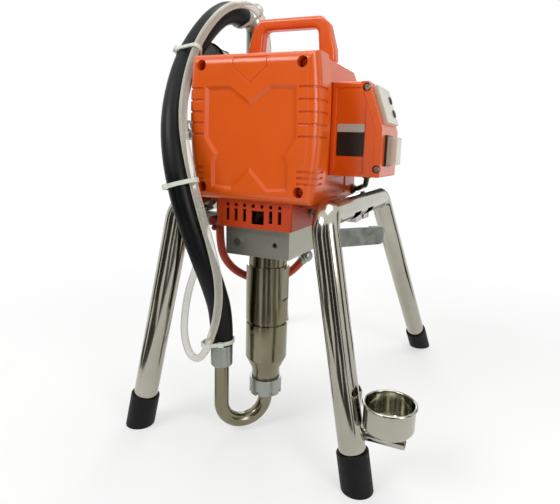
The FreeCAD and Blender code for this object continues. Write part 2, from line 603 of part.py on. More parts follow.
def hose_clip(leg_space):
    """A zinc strip welded to the front right leg, its rounded end bent back on itself."""
    angle = math.radians(number(S.clip_turn))
    across = Vector(math.cos(angle), math.sin(angle), 0)
    side = Vector(-across.y, across.x, 0)
    foot, bend = leg_points(1)[:2]
    leg = foot + (bend - foot) * (number(S.clip_level) / bend.z)
    start = Vector(leg.x, leg.y + number(S.clip_set), 0)
    length, wall, bend = number(S.clip_length), number(S.clip_thickness), number(S.clip_bend)
    low = Vector(0, 0, number(S.clip_level) - number(S.clip_height) / 2)

    def at(run, off):
        return start + across * run + side * off + low

    turn = at(length, 0)
    face = [
        Part.LineSegment(at(0, 0), turn),
        Part.Arc(turn, at(length + bend / 2, bend / 2), at(length, bend)),
        Part.LineSegment(at(length, bend), at(length - bend * 2, bend)),
        Part.LineSegment(at(length - bend * 2, bend), at(length - bend * 2, bend - wall)),
        Part.LineSegment(at(length - bend * 2, bend - wall), at(length, bend - wall)),
        Part.Arc(at(length, bend - wall), at(length + bend / 2 - wall, bend / 2), at(length, wall)),
        Part.LineSegment(at(length, wall), at(0, wall)),
        Part.LineSegment(at(0, wall), at(0, 0)),
    ]
    wire = Part.Wire([part.toShape() for part in face])
    radius = number(S.clip_height) / 2
    reach = length + bend / 2 + wall / 2 - radius

    def edge(run, rise):
        return at(run, -2 * bend) + Vector(0, 0, rise)

    outline = Part.Wire([part.toShape() for part in (
        Part.LineSegment(edge(-bend, 0), edge(reach, 0)),
        Part.Arc(edge(reach, 0), edge(reach + radius, radius), edge(reach, 2 * radius)),
        Part.LineSegment(edge(reach, 2 * radius), edge(-bend, 2 * radius)),
        Part.LineSegment(edge(-bend, 2 * radius), edge(-bend, 0)),
    )])
    tongue = Part.Face(outline).extrude(side * 4 * bend)
    sheet = Part.Face(wire).extrude(Vector(0, 0, 2 * radius + 2 * bend))
    sheet.translate(Vector(0, 0, -bend))
    strip = solid("clip_strip", sheet.common(tongue))
    node("hose_clip", cut("clip_on_leg", strip, leg_space))


def cup_bracket(leg_space):
    """The arm that carries the cup on a stud, and the upright gun socket, welded to the front right leg."""
    level = S.arm_level
    start = S.arm_start
    arm = rod("arm", S.arm_diameter, S.arm_length, start, -S.arm_forward_y, level, "x")
    stub = rod("stub", S.stub_diameter, S.stub_height, S.stub_x, -S.stub_y, level)
    knee = ball("stub_knee", S.stub_diameter, S.stub_x, -S.stub_y, level)
    stud = rod("cup_stud_bar", S.cup_stud, S.arm_diameter / 2 + S.cup_lift, S.cup_x, -S.arm_forward_y, level)
    body = join("arm_and_stub", arm, stub, knee)
    arm_bore = rod("arm_bore", S.arm_diameter - 2 * S.stub_wall, S.arm_length, start + S.arm_plug,
                   -S.arm_forward_y, level, "x")
    stub_bore = rod("stub_bore", S.stub_diameter - 2 * S.stub_wall, S.stub_height, S.stub_x, -S.stub_y,
                    level + S.stub_diameter)
    mouth = slab("stub_mouth", 0, 3 * S.stub_diameter, 0, 2 * S.stub_diameter, 0, S.stub_diameter)
    tilt = FreeCAD.Rotation(Vector(0, 1, 0), number(S.stub_slope))
    turned(mouth, tilt, S.stub_x - S.stub_diameter, -S.stub_y - S.stub_diameter, level + S.stub_height)
    tubes = cut("bracket_tubes", body, arm_bore, stub_bore, mouth, leg_space)
    node("cup_bracket", join("bracket_shape", tubes, stud))


def drip_cup():
    """A round cup with a rolled rim; it stands on the bracket's stud."""
    radius, height, wall = number(S.cup_radius), number(S.cup_height), number(S.cup_wall)
    base = number(S.arm_level + S.arm_diameter / 2 + S.cup_lift)
    centre = Vector(number(S.cup_x), -number(S.cup_y), base)
    outer = Part.makeCylinder(radius, height, centre)
    low_edges = [edge for edge in outer.Edges if edge.Closed and edge.BoundBox.ZMax < base + 1]
    outer = outer.makeFillet(number(S.cup_corner), low_edges)
    inner = Part.makeCylinder(radius - wall, height, centre + Vector(0, 0, wall))
    low_edges = [edge for edge in inner.Edges if edge.Closed and edge.BoundBox.ZMax < base + wall + 1]
    inner = inner.makeFillet(number(S.cup_corner) - wall, low_edges)
    wire = number(S.cup_rim_wire) / 2
    rim = Part.makeTorus(radius, wire, centre + Vector(0, 0, height))
    node("drip_cup", solid("cup_shape", outer.fuse(rim).cut(inner)))


# Pump, on the axis X = 0, Y = -pump_back.
def pump_round(name, diameter, low, high):
    return rod(name, diameter, Dim.of(high) - low, 0, -S.pump_back, low)


def pump_cylinder():
    body = join("cylinder_body", pump_round("barrel", S.cylinder_diameter, S.cylinder_bottom, S.cylinder_top),
                pump_round("neck", S.neck_diameter, S.cylinder_top, S.neck_top))
    bore = pump_round("barrel_bore", S.cylinder_bore, S.cylinder_bottom, S.packing_top)
    rod_way = pump_round("rod_way", S.rod_diameter + 2 * S.gap, S.packing_top, S.neck_top)
    half, far = S.flat_width / 2, S.cylinder_diameter
    flats = [slab("flat_%d" % index, low, high, -S.pump_back - far, -S.pump_back + far, S.flat_low, S.flat_high)
             for index, (low, high) in enumerate(((half, far), (-far, -half)))]
    shape = cut("cylinder_cut", body, bore, rod_way, *flats)
    node("pump_cylinder", shape)


def intake_housing():
    """Lower pump body: a recessed ring, barrel, cone and threaded collar, with the ball seat inside."""
    ring = pump_round("recessed_ring", S.groove_diameter, S.cylinder_bottom - S.groove_height, S.cylinder_bottom)
    barrel = pump_round("intake_barrel", S.intake_diameter, S.intake_cone_top,
                        S.cylinder_bottom - S.groove_height)
    taper = cone("intake_cone", S.collar_diameter, S.intake_diameter, S.intake_cone_top - S.intake_cone_bottom,
                 0, -S.pump_back, S.intake_cone_bottom)
    collar = pump_round("collar", S.collar_diameter, S.collar_bottom, S.intake_cone_bottom)
    body = join("intake_body", ring, barrel, taper, collar)
    low_bore = pump_round("intake_bore", S.intake_bore, S.collar_bottom, S.seat_bottom)
    seat_hole = pump_round("seat_hole", S.seat_hole, S.seat_bottom, S.seat_bottom + S.seat_height)
    chamber = pump_round("intake_chamber", S.cylinder_bore, S.seat_bottom + S.seat_height, S.cylinder_bottom)
    node("intake_housing", cut("intake_cut", body, low_bore, seat_hole, chamber))


def ball_on_seat(label, diameter, hole, seat_top):
    """A steel ball a running gap above the edge of its seat."""
    radius = Dim.of(diameter) / 2
    rise = math.sqrt(number(diameter) ** 2 - number(hole) ** 2) / 2
    ball_piece = solid(label + "_shape", Part.makeSphere(
        number(radius), point(0, -S.pump_back, number(seat_top) + rise + number(S.gap))))
    node(label, ball_piece)


def displacement_rod():
    """Piston, rod, flat tongue and wrist pin stub in one plunger."""
    bottom = S.piston_bottom
    piston = pump_round("piston", S.cylinder_bore - 2 * S.running_gap, bottom, bottom + S.piston_height)
    shaft = pump_round("rod_shaft", S.rod_diameter, bottom + S.piston_height, S.tongue_start)
    tongue = slab("tongue", -S.tongue_width / 2, S.tongue_width / 2, -S.pump_back - S.tongue_thickness / 2,
                  -S.pump_back + S.tongue_thickness / 2, S.tongue_start, S.wrist_height)
    eye = rod("tongue_eye", S.tongue_width, S.tongue_thickness, 0, -S.pump_back - S.tongue_thickness / 2,
              S.wrist_height, "y")
    pin_length = S.con_rod_gap - S.pin_gap
    pin = rod("wrist_pin", S.wrist_pin, pin_length + 1, 0,
              -S.pump_back - S.tongue_thickness / 2 - pin_length, S.wrist_height, "y")
    body = join("plunger_body", piston, shaft, tongue, eye, pin)
    port = pump_round("piston_port", S.piston_port, bottom, bottom + S.piston_seat)
    chamber = pump_round("piston_chamber", S.piston_chamber, bottom + S.piston_seat,
                         bottom + S.piston_height + S.piston_ball)
    side_port = rod("side_port", S.piston_port, S.cylinder_bore, -S.cylinder_bore / 2, -S.pump_back,
                    bottom + S.piston_height + S.piston_ball / 2, "x")
    node("displacement_rod", cut("plunger", body, port, chamber, side_port))


def rod_packings():
    """Packing rings stacked in the cylinder's mouth."""
    count = int(number(S.packing_rings))
    rings = []
    each = (S.packing_top - S.packing_bottom) / count
    for index in range(count):
        low = S.packing_bottom + each * index
        outer = pump_round("packing_%d" % index, S.cylinder_bore - 2 * S.running_gap, low, low + each)
        hole = pump_round("packing_hole_%d" % index, S.rod_diameter + 2 * S.running_gap, low, low + each)
        rings.append(cut("packing_ring_%d" % index, outer, hole))
    node("rod_packings", group("packing_stack", *rings))


def suction_nut():
    """Castellated nut that clamps the suction tube's flange under the collar."""
    body = pump_round("nut_body", S.nut_diameter, S.nut_bottom, S.nut_top)
    thread = pump_round("nut_thread", S.collar_diameter + 2 * S.running_gap,
                        S.collar_bottom - S.tube_flange_height - 2 * S.gap, S.nut_top)
    hole = pump_round("nut_hole", S.tube_diameter + 2 * S.gap, S.nut_bottom, S.nut_top)
    slots = []
    count = int(number(S.nut_slots))
    for index in range(count):
        angle = 360.0 * index / count
        slot = slab("castle_%d" % index, S.nut_diameter / 2 - S.nut_slot_depth, S.nut_diameter,
                    -S.nut_slot_width / 2, S.nut_slot_width / 2, 0, S.nut_slot_tall)
        turn = FreeCAD.Rotation(Vector(0, 0, 1), angle)
        offset = turn.multVec(point(S.nut_diameter / 2 - S.nut_slot_depth, -S.nut_slot_width / 2, 0))
        turned(slot, turn, offset.x, offset.y - number(S.pump_back), S.nut_bottom)
        slots.append(slot)
    node("suction_nut", cut("castle_nut", body, thread, hole, *slots))


def suction_tube():
    """Steel tube: flange under the collar, half circle below, then up to the hose."""
    top = Vector(0, -number(S.pump_back), number(S.collar_bottom) - number(S.gap))
    far = Vector(-number(S.arm_x), -number(S.pump_back) - number(S.arm_forward), 0)
    level = number(S.u_start)
    half = (far - Vector(top.x, top.y, 0)) * 0.5
    start = Vector(top.x, top.y, level)
    end = Vector(far.x, far.y, level)
    middle = start + half + Vector(0, 0, -half.Length)
    wire = Part.Wire([
        Part.LineSegment(top, start).toShape(),
        Part.Arc(start, middle, end).toShape(),
        Part.LineSegment(end, Vector(end.x, end.y, number(S.ferrule_top) - number(S.ferrule_floor))).toShape(),
    ])
    radius = number(S.tube_diameter) / 2
    tube = swept(wire, radius)
    flange = Part.makeCylinder(number(S.tube_flange) / 2, number(S.tube_flange_height),
                               top - Vector(0, 0, number(S.tube_flange_height)))
    bore = swept(wire, radius - number(S.tube_wall))
    node("suction_tube", solid("tube_shape", tube.fuse(flange).cut(bore)))


def hose_ferrule():
    """Smooth sleeve, rounded below, that joins the tube and the suction hose."""
    x, y = -S.arm_x, -S.pump_back - S.arm_forward
    sleeve = rod("sleeve", S.ferrule_diameter, S.ferrule_top - S.ferrule_bottom, x, y, S.ferrule_bottom)
    rounded = soften("sleeve_rounded", sleeve, S.ferrule_round,
                     lambda edge: edge.Closed and edge.BoundBox.ZMax < number(S.ferrule_bottom) + 1)
    seat = rod("sleeve_seat", S.tube_diameter + 2 * S.fit_gap,
               S.ferrule_top - S.ferrule_bottom - S.ferrule_floor + S.fit_gap, x, y, S.ferrule_bottom)
    bore = rod("sleeve_bore", S.tube_diameter - 2 * S.tube_wall, S.ferrule_top - S.ferrule_bottom, x, y,
               S.ferrule_bottom)
    node("hose_ferrule", cut("ferrule_shape", rounded, seat, bore))


# Lines: their points are read by hand from the photograph, and by room where it hides them.
SUCTION_ROUTE = [
    (-38, -160, 114), (-38, -160, 148), (-40, -174, 186), (-48, -187, 226), (-59, -196, 268),
    (-72, -195, 312), (-87, -181, 354), (-98, -157, 396), (-101, -132, 436), (-95, -106, 470),
    (-89, -84, 491), (-85, -62, 500), (-83.5, -40, 500),
]
DRAIN_ROUTE = [
    (-88, -120, 240), (-88, -120, 218), (-92, -131, 194), (-97, -141, 166), (-99, -147, 136),
    (-96, -153, 110), (-84, -159, 90), (-67, -165, 90), (-52, -173, 106), (-40, -180, 128),
    (-29, -184, 156), (-24, -188, 192), (-29, -193, 230), (-41, -197, 272), (-54, -197, 316),
    (-71, -186, 362), (-82.5, -162, 406), (-84, -137, 450), (-78, -110, 483), (-71.5, -87, 500),
    (-65.5, -66, 507), (-60, -48, 505.5), (-57, -34, 497), (-58, -19, 481), (-64, -1, 461),
    (-73.5, 14, 437), (-77, 19, 404), (-76, 19, 368), (-74, 19, 334),
]
LINK_ROUTE = [
    (-65.5, -120, 246), (-65.5, -120, 219), (-60, -110, 196), (-47, -97, 181), (-27, -86, 175),
    (-6, -79, 178), (13, -78, 188.5), (25.46, -78, 204.41),
]


def tied(route, start, end=None):
    """A route's points, carried along by the piece it starts from and the one it ends at."""
    points = [Vector(*p) for p in route]
    first = start - points[0]
    last = end - points[-1] if end else first
    share = 1.0 / (len(points) - 1)
    return [p + first * (1 - share * index) + last * (share * index) for index, p in enumerate(points)]


def suction_points():
    return tied(SUCTION_ROUTE, point(-S.arm_x, -S.pump_back - S.arm_forward, S.ferrule_top))


def drain_points():
    return tied(DRAIN_ROUTE, point(-S.drain_x, -S.riser_y, S.drain_top))


def free_lines():
    suction = hose_solid("suction_hose_shape", suction_points(), number(S.hose_diameter), number(S.hose_bore))
    node("suction_hose", suction)
    drain = hose_solid("drain_tube_shape", drain_points(), number(S.drain_diameter), number(S.drain_bore))
    node("drain_tube", drain)


def suction_strainer():
    """The suction hose's inlet: a collar, a tube that turns down and a slotted basket beside the housing."""
    points = suction_points()
    heading = Vector(points[-1] - points[-2]).normalize()
    down = Vector(0, 0, -1)
    bend, collar_length = number(S.inlet_bend), number(S.inlet_collar_length)
    start = points[-1] + heading * collar_length
    end = start + (heading + down) * bend
    middle = start + heading * (bend * math.sin(math.pi / 4)) + down * (bend * (1 - math.cos(math.pi / 4)))
    foot = end + down * number(S.inlet_drop)
    wire = Part.Wire([
        Part.LineSegment(points[-1], start).toShape(),
        Part.Arc(start, middle, end).toShape(),
        Part.LineSegment(end, foot).toShape(),
    ])
    outer, inner = number(S.tube_diameter) / 2, number(S.tube_diameter) / 2 - number(S.tube_wall)
    collar = Part.makeCylinder(number(S.inlet_collar) / 2, collar_length, points[-1], heading)
    pipe = swept(wire, outer).fuse(collar).cut(swept(wire, inner))
    node("suction_strainer", group("inlet_pair", solid("inlet_pipe", pipe), strainer_basket(foot, inner)))


def strainer_basket(top, way_in):
    """Slotted cup that hangs from the inlet tube's end at top."""
    radius, wall = number(S.strainer_diameter) / 2, number(S.strainer_wall)
    height, rim, gap = number(S.strainer_height), number(S.strainer_rim), number(S.strainer_slot)
    base = top - Vector(0, 0, height)
    basket = Part.makeCylinder(radius, height, base)
    hollow = Part.makeCylinder(radius - wall, height - 2 * wall, base + Vector(0, 0, wall))
    basket = basket.cut(hollow).cut(Part.makeCylinder(way_in, 2 * wall, top - Vector(0, 0, wall)))
    count = int(number(S.strainer_slots))
    for index in range(count):
        slot = Part.makeBox(2 * radius, gap, height - 2 * rim, Vector(-radius, -gap / 2, rim))
        slot.rotate(Vector(), Vector(0, 0, 1), 180.0 * index / count)
        slot.translate(base)
        basket = basket.cut(slot)
    return solid("inlet_basket", basket)


# Bearing block and the drive above it.
def bearing_block():
    """Aluminium block with the pump socket below and the connecting rod's room above."""
    half = S.block_width / 2
    body = slab("block_body", -half, half, -S.block_front, -S.block_rear, S.block_bottom, S.block_top)
    rounded = soften("block_rounded", body, S.block_corner,
                     lambda edge: edge.Length > 30 and edge.BoundBox.YMin > -number(S.block_rear) - 1
                     and edge.BoundBox.XLength < 1 and edge.BoundBox.ZLength > 30)
    room = S.cavity_width / 2
    cavity = slab("block_cavity", -room, room, -S.cavity_front, -S.cavity_back, S.cavity_level, S.block_top)
    mouth = slab("block_mouth", -room, room, -S.block_front, -S.cavity_front, S.mouth_low, S.block_top)
    socket = rod("pump_socket", S.neck_diameter + 2 * S.fit_gap, S.cavity_level - S.block_bottom, 0,
                 -S.pump_back, S.block_bottom)
    holes = [rod("front_hole_%d" % side, S.block_hole, S.block_hole_depth, side * S.block_hole_half_gap,
                 -S.block_front, S.block_hole_height, "y") for side in (-1, 1)]
    reach = S.block_width / 2 - S.screw_reach
    guard_holes = [rod("guard_hole_%d" % side, S.machine_screw + 2 * S.fit_gap, S.screw_reach,
                       low, -S.tab_back, S.tab_height, "x") for side, low in ((-1, -half), (1, reach))]
    port = rod("outlet_port", S.elbow_stem + 2 * S.fit_gap, S.port_rise, S.elbow_x, -S.port_back, S.block_bottom)
    node("bearing_block", cut("block", rounded, cavity, mouth, socket, port, *(holes + guard_holes)))


def lower_guard():
    """Pressed orange guard round the block's front, with a row of holes, slots and a window."""
    half, wall = S.guard_width / 2, S.guard_wall
    outer = slab("guard_outer", -half, half, -S.guard_front, -S.guard_back, S.guard_bottom, S.guard_top)
    rounded = soften("guard_rounded", outer, S.guard_corner,
                     lambda edge: edge.BoundBox.YMax < -number(S.guard_front) + 1 and edge.BoundBox.ZLength > 10)
    inner = slab("guard_inner", -half + wall, half - wall, -S.guard_front + wall, -S.guard_back,
                 S.guard_bottom, S.guard_top)
    holes = []
    for index in range(-3, 4):
        holes.append(rod("vent_%d" % index, S.vent_round, wall * 2, index * S.vent_pitch,
                         -S.guard_front - wall / 2, S.vent_row, "y"))
        if index in (0, 1):
            continue
        middle = index * S.vent_pitch
        holes.append(slab("vent_slot_%d" % index, middle - S.slot_width / 2, middle + S.slot_width / 2,
                          -S.guard_front - wall, -S.guard_front + 2 * wall, S.slot_low, S.slot_high))
    holes.append(slab("window", -S.window_left, S.window_width - S.window_left, -S.guard_front - wall,
                      -S.guard_front + 2 * wall, S.slot_low - 2, S.slot_high - 1))
    shell = cut("guard_shell", rounded, inner, *holes)
    block_half = S.block_width / 2
    tabs = []
    for side, low, high in ((-1, -half, -block_half), (1, block_half, half)):
        tab = slab("guard_tab_%d" % side, low, high, -S.tab_back - S.tab_width / 2, -S.tab_back + S.tab_width / 2,
                   S.tab_height - S.tab_width / 2, S.tab_height + S.tab_width / 2)
        tabs.append(tab)
    body = join("guard_body", shell, *tabs)
    way = rod("guard_screw_way", S.machine_screw + 2 * S.fit_gap, S.guard_width + 2, -half - 1, -S.tab_back,
              S.tab_height, "x")
    case_foot = slab("guard_foot_notch", -half, half, -S.drive_front - S.gap, -S.guard_back, S.drive_bottom,
                     S.guard_top)
    node("lower_guard", cut("guard", body, way, case_foot))


def screw_to(name, x, y, z, length, direction):
    """A round-head screw whose head sits at x, y, z and whose shank runs in the given direction."""
    centre = point(x, y, z)
    radius = number(S.machine_screw) / 2
    head_radius = number(S.machine_head) / 2
    tall = number(S.machine_head_height)
    shank = Part.makeCylinder(radius, number(length), centre, direction)
    head = Part.makeCylinder(head_radius, tall, centre, direction * -1)
    socket = Part.makeCylinder(radius * 0.7, tall * 0.6, centre - direction * tall, direction)
    return solid(name, head.fuse(shank).cut(socket))


def machine_screws():
    """Two guard screws, one screw in the block's front hole and two handle screws."""
    half = S.guard_width / 2
    screws = []
    for side in (-1, 1):
        screws.append(screw_to("guard_screw_%d" % side, side * half, -S.tab_back, S.tab_height,
                               half - S.block_width / 2 + S.screw_reach - 1, Vector(-side, 0, 0)))
    screws.append(screw_to("block_screw", -S.block_hole_half_gap, -S.block_front, S.block_hole_height,
                           S.block_hole_depth - 1, Vector(0, 1, 0)))
    for side in (-1, 1):
        screws.append(screw_to("handle_screw_%d" % side, side * S.handle_screw_x, -S.handle_back,
                               S.housing_top - S.housing_wall, S.screw_reach, Vector(0, 0, 1)))
    node("machine_screws", group("machine_screw_set", *screws))


def base_tray():
    """Orange tray under the drive: a flange above and a pan that rests on the cross bars."""
    half = S.tray_half
    flange = slab("tray_flange", -half, half, -S.tray_front, S.tray_back, S.tray_top - S.tray_lip, S.tray_top)
    pan = slab("tray_pan", -S.pan_half, S.pan_half, -S.pan_front, S.tray_back - S.tray_wall, S.cross_top,
               S.tray_top - S.tray_lip / 2)
    body = join("tray_body", flange, pan)
    rounded = soften("tray_rounded", body, S.tray_edge,
                     lambda edge: edge.BoundBox.ZMin > number(S.tray_top) - 0.1
                     and (abs(edge.BoundBox.XMin) > number(half) - 0.1 and edge.BoundBox.XLength < 0.1
                          or edge.BoundBox.YMin > number(S.tray_back) - 0.1))
    wall = S.tray_wall
    hollow = slab("tray_hollow", -S.pan_half + wall, S.pan_half - wall, -S.pan_front + wall,
                  S.tray_back - 2 * wall, S.cross_top + wall, S.tray_top)
    block_way = slab("block_way", -S.block_width / 2 - S.gap, S.block_width / 2 + S.gap, -S.tray_front,
                     -S.block_rear + S.gap, S.cross_top, S.tray_top)
    guard_way = slab("guard_way", -S.guard_width / 2 - 2 * S.gap, S.guard_width / 2 + 2 * S.gap, -S.tray_front,
                     -S.guard_back + S.gap, S.cross_top, S.tray_top)
    riser_way = slab("riser_way", -S.tray_half, S.riser / 2 + 1 - S.riser_x, -S.riser_y - S.riser,
                     -S.riser_y + S.riser, S.cross_top, S.tray_top)
    holes = [riser_way]
    for index, middle in enumerate((-S.cross_front, -S.cross_back)):
        for side in (-1, 1):
            holes.append(rod("tray_bolt_%d_%d" % (index, side), S.base_bolt_diameter + 2 * S.fit_gap,
                             S.tray_wall + 2, side * S.base_bolt_spread, middle, S.cross_top - 1))
    node("base_tray", cut("tray", rounded, hollow, block_way, guard_way, *holes))


def drive_housing():
    """Cast case: open crank room in front, a bearing wall, and the gear room behind."""
    half, wall = S.drive_half, S.drive_wall
    body = slab("case_body", -half, half, -S.drive_front, -S.drive_back, S.drive_bottom, S.drive_top)
    ears = []
    for side in (-1, 1):
        for level, height in (("low", S.screw_low), ("high", S.screw_high)):
            ears.append(rod("ear_%s_%d" % (level, side), S.ear_diameter, S.drive_front - S.cover_back - S.gap
                            + S.ear_reach, side * S.screw_half_x, -S.drive_front - S.ear_reach, height, "y"))
    shell = join("case_shell", body, *ears)
    crank_room = slab("crank_room", -half + wall, half - wall, -S.drive_front - S.ear_reach, -S.mid_front,
                      S.drive_bottom + wall, S.drive_top - wall)
    gear_room = slab("gear_room", -half + wall, half - wall, -S.mid_back, -S.drive_back,
                     S.drive_bottom + wall, S.drive_top - wall)
    rod_slot = slab("rod_slot", -S.rod_slot_half, S.rod_slot_half, -S.rod_slot_front, -S.rod_slot_back,
                    S.drive_bottom, S.drive_bottom + wall)
    bearing_seat = rod("crank_bearing_seat", S.crank_bearing_od + 2 * S.running_gap, S.mid_front - S.mid_back, 0,
                       -S.mid_front, S.crank_height, "y")
    idler_hole = rod("idler_hole", S.idler_pin + 2 * S.running_gap, S.mid_front - S.mid_back,
                     idler_x(), -S.mid_front, idler_z(), "y")
    taps = []
    for side in (-1, 1):
        for level, height in (("low", S.screw_low), ("high", S.screw_high)):
            taps.append(rod("tap_%s_%d" % (level, side), S.screw_shank + 2 * S.fit_gap, S.tap_depth,
                            side * S.screw_half_x, -S.drive_front - S.ear_reach, height, "y"))
    node("drive_housing", cut("case", shell, crank_room, gear_room, rod_slot, bearing_seat, idler_hole, *taps))


def idler_x():
    """The idler's axis lies where both gear distances meet, right of the middle plane."""
    low = (S.crank_teeth + S.idler_small_teeth) * S.gear_module / 2
    return Dim(math.sqrt(number(low) ** 2 - (number(idler_z()) - number(S.crank_height)) ** 2),
               "sqrt(%s * %s - (%s - Sizes.crank_height) * (%s - Sizes.crank_height))"
               % (low.text, low.text, idler_z().text, idler_z().text))


def idler_z():
    low = (S.crank_teeth + S.idler_small_teeth) * S.gear_module / 2
    high = (S.idler_teeth + S.pinion_teeth) * S.fine_module / 2
    rise = S.motor_height - S.crank_height
    return S.crank_height + (low * low - high * high + rise * rise) / (2 * rise)


def gear_shape(teeth, module, width, front, x, z, turn_degrees):
    """Spur gear along Y with involute flanks, thinned by the backlash."""
    teeth = int(number(teeth))
    module, width = number(module), number(width)
    pitch = module * teeth / 2
    base = pitch * math.cos(math.radians(20))
    tip = pitch + module
    root = pitch - 1.25 * module
    slack = number(S.backlash) * 0.5 / pitch
    half_tooth = math.pi / (2 * teeth) - slack / 2

    def involute(angle):
        return math.tan(angle) - angle

    pitch_angle = math.acos(base / pitch)

    def flank(radius):
        angle = math.acos(min(1.0, base / radius))
        return half_tooth + involute(pitch_angle) - involute(angle)

    steps = 4
    low = max(base, root)
    radii = [low + (tip - low) * step / steps for step in range(steps + 1)]
    points = []
    for tooth in range(teeth):
        middle = 2 * math.pi * tooth / teeth + math.radians(turn_degrees)
        side = [(root, -flank(low))] if root < low - 1e-6 else []
        side += [(radius, -flank(radius)) for radius in radii]
        whole = side + [(radius, -angle) for radius, angle in reversed(side)]
        points += [(radius * math.cos(middle + angle), radius * math.sin(middle + angle))
                   for radius, angle in whole]
    corners = [Vector(number(x) + a, -number(front), number(z) + b) for a, b in points]
    wire = Part.makePolygon(corners + [corners[0]])
    return Part.Face(wire).extrude(Vector(0, width, 0))


def shaft(diameter, front, back, x, z):
    """A round shaft along Y from one depth to another (both measured forwards of Y = 0)."""
    length = number(Dim.of(front) - back)
    return Part.makeCylinder(number(diameter) / 2, length, point(x, -Dim.of(front), z), Vector(0, 1, 0))


def crankshaft():
    """Crank disc with its pin in front, journal and large gear behind."""
    axis = (0, S.crank_height)
    disc = shaft(S.web_radius * 2, S.web_front, S.web_front - S.web_thickness, *axis)
    pin = shaft(S.crank_pin, S.con_rod_front + S.pin_reach, S.web_front, 0, S.crank_height - S.crank_throw)
    journal = shaft(S.crank_journal, S.web_front - S.web_thickness, S.drive_back + 1, *axis)
    wheel = gear_shape(S.crank_teeth, S.gear_module, S.gear_width, S.gear_front, 0, S.crank_height, 0)
    holes = []
    count = int(number(S.gear_holes))
    for index in range(count):
        angle = 2 * math.pi * (index + 0.5) / count
        reach = number(S.gear_module * S.crank_teeth) * 0.34
        holes.append(shaft(S.crank_pin, S.gear_front + 1, S.gear_front - S.gear_width - 1, reach * math.cos(angle),
                           number(S.crank_height) + reach * math.sin(angle)))
    wheel = wheel.cut(Part.makeCompound(holes))
    node("crankshaft", solid("crank_shape", disc.fuse([pin, journal, wheel])))


def idler_gear():
    """Large and small gear on one shaft; the shaft turns in the bearing wall."""
    axis = (idler_x(), idler_z())
    toward_crank = math.degrees(math.atan2(number(S.crank_height) - number(idler_z()), -number(idler_x())))
    small_pitch = 360.0 / number(S.idler_small_teeth)
    # the crank gear has a tooth on its own X axis; the small gear shows a gap where the two meet
    crank_phase = (toward_crank + 180) / (360.0 / number(S.crank_teeth))
    small_turn = toward_crank + small_pitch * (0.5 + crank_phase % 1.0)
    small = gear_shape(S.idler_small_teeth, S.gear_module, S.gear_width, S.gear_front, *axis, small_turn)
    large = gear_shape(S.idler_teeth, S.fine_module, S.second_width, S.second_front, *axis, 0)
    spindle = shaft(S.idler_pin, S.mid_front - 0.5, S.drive_back + 1, *axis)
    spacer = shaft(S.idler_pin * 1.5, S.gear_front - S.gear_width + 0.5, S.second_front - 0.5, *axis)
    node("idler_gear", solid("idler_shape", small.fuse([large, spindle, spacer])))
    print("idler %.4f %.4f" % (number(idler_x()), number(idler_z())))


def drive_bearings():
    """Ball bearings: one for the crank's journal, two for the motor's shaft."""
    rings = []

    def bearing(name, bore, outside, front, back, x, z):
        body = shaft(outside, front, back, x, z)
        hole = shaft(Dim.of(bore) + 2 * S.running_gap, front + 1, back - 1, x, z)
        middle = (number(outside) + number(bore)) / 2
        groove_out = shaft(middle + S.seal_line / 2, front, Dim.of(front) - S.seal_deep, x, z)
        groove_in = shaft(middle - S.seal_line / 2, front, Dim.of(front) - S.seal_deep, x, z)
        rings.append(solid(name, body.cut(hole).cut(groove_out.cut(groove_in))))

    bearing("crank_bearing", S.crank_journal, S.crank_bearing_od, S.mid_front, S.mid_back, 0, S.crank_height)
    front = S.drive_back
    bearing("motor_front_bearing", S.motor_shaft, S.motor_bearing_od, front, front - S.motor_bearing_width, 0,
            S.motor_height)
    back = -S.motor_back + 1
    bearing("motor_rear_bearing", S.motor_shaft, S.motor_bearing_od, back + S.motor_bearing_width, back, 0,
            S.motor_height)
    node("drive_bearings", group("bearing_set", *rings))


def connecting_rod():
    """Forged rod between the crank pin and the wrist pin, upright at rest."""
    front, thick = S.con_rod_front, S.con_rod_thickness
    pin_z = S.crank_height - S.crank_throw
    big = shaft(S.big_eye_radius * 2, front, front - thick, 0, pin_z)
    small = shaft(S.eye_radius * 2, front, front - thick, 0, S.wrist_height)
    beam = Part.makeBox(number(S.eye_radius) * 1.3, number(thick), number(pin_z - S.wrist_height),
                        point(-S.eye_radius * 0.65, -front, S.wrist_height))
    big_hole = shaft(S.crank_pin + 2 * S.running_gap, front + 1, front - thick - 1, 0, pin_z)
    small_hole = shaft(S.wrist_pin + 2 * S.running_gap, front + 1, front - thick - 1, 0, S.wrist_height)
    node("connecting_rod", solid("con_rod_shape", big.fuse([small, beam]).cut(big_hole).cut(small_hole)))


def motor_shell():
    """Motor tube with its front plate, rear wall and magnet ring."""
    axis = (0, S.motor_height)
    front, back = S.drive_back, -S.motor_back
    plate_back = front - S.motor_bearing_width
    half = number(S.drive_half)
    plate_shape = Part.makeBox(half * 2, number(S.motor_bearing_width), number(S.drive_top - S.drive_bottom),
                               point(-half, -front, S.drive_bottom))
    tube = shaft(S.motor_diameter, plate_back, back, *axis)
    hollow = shaft(S.motor_diameter - 2 * S.motor_wall, plate_back, back + S.motor_bearing_width + 1, *axis)
    magnets = shaft(S.motor_diameter - 2 * S.motor_wall, S.magnet_front, S.magnet_back, *axis).cut(
        shaft(S.magnet_bore, S.magnet_front, S.magnet_back, *axis))
    body = plate_shape.fuse(tube).cut(hollow).fuse(magnets)
    seat = S.motor_bearing_od + 2 * S.running_gap
    body = body.cut(shaft(seat, front, plate_back, *axis))
    body = body.cut(shaft(seat, back + S.motor_bearing_width + 1, back + 1, *axis))
    node("motor_shell", solid("motor_shell_shape", body.removeSplitter()))


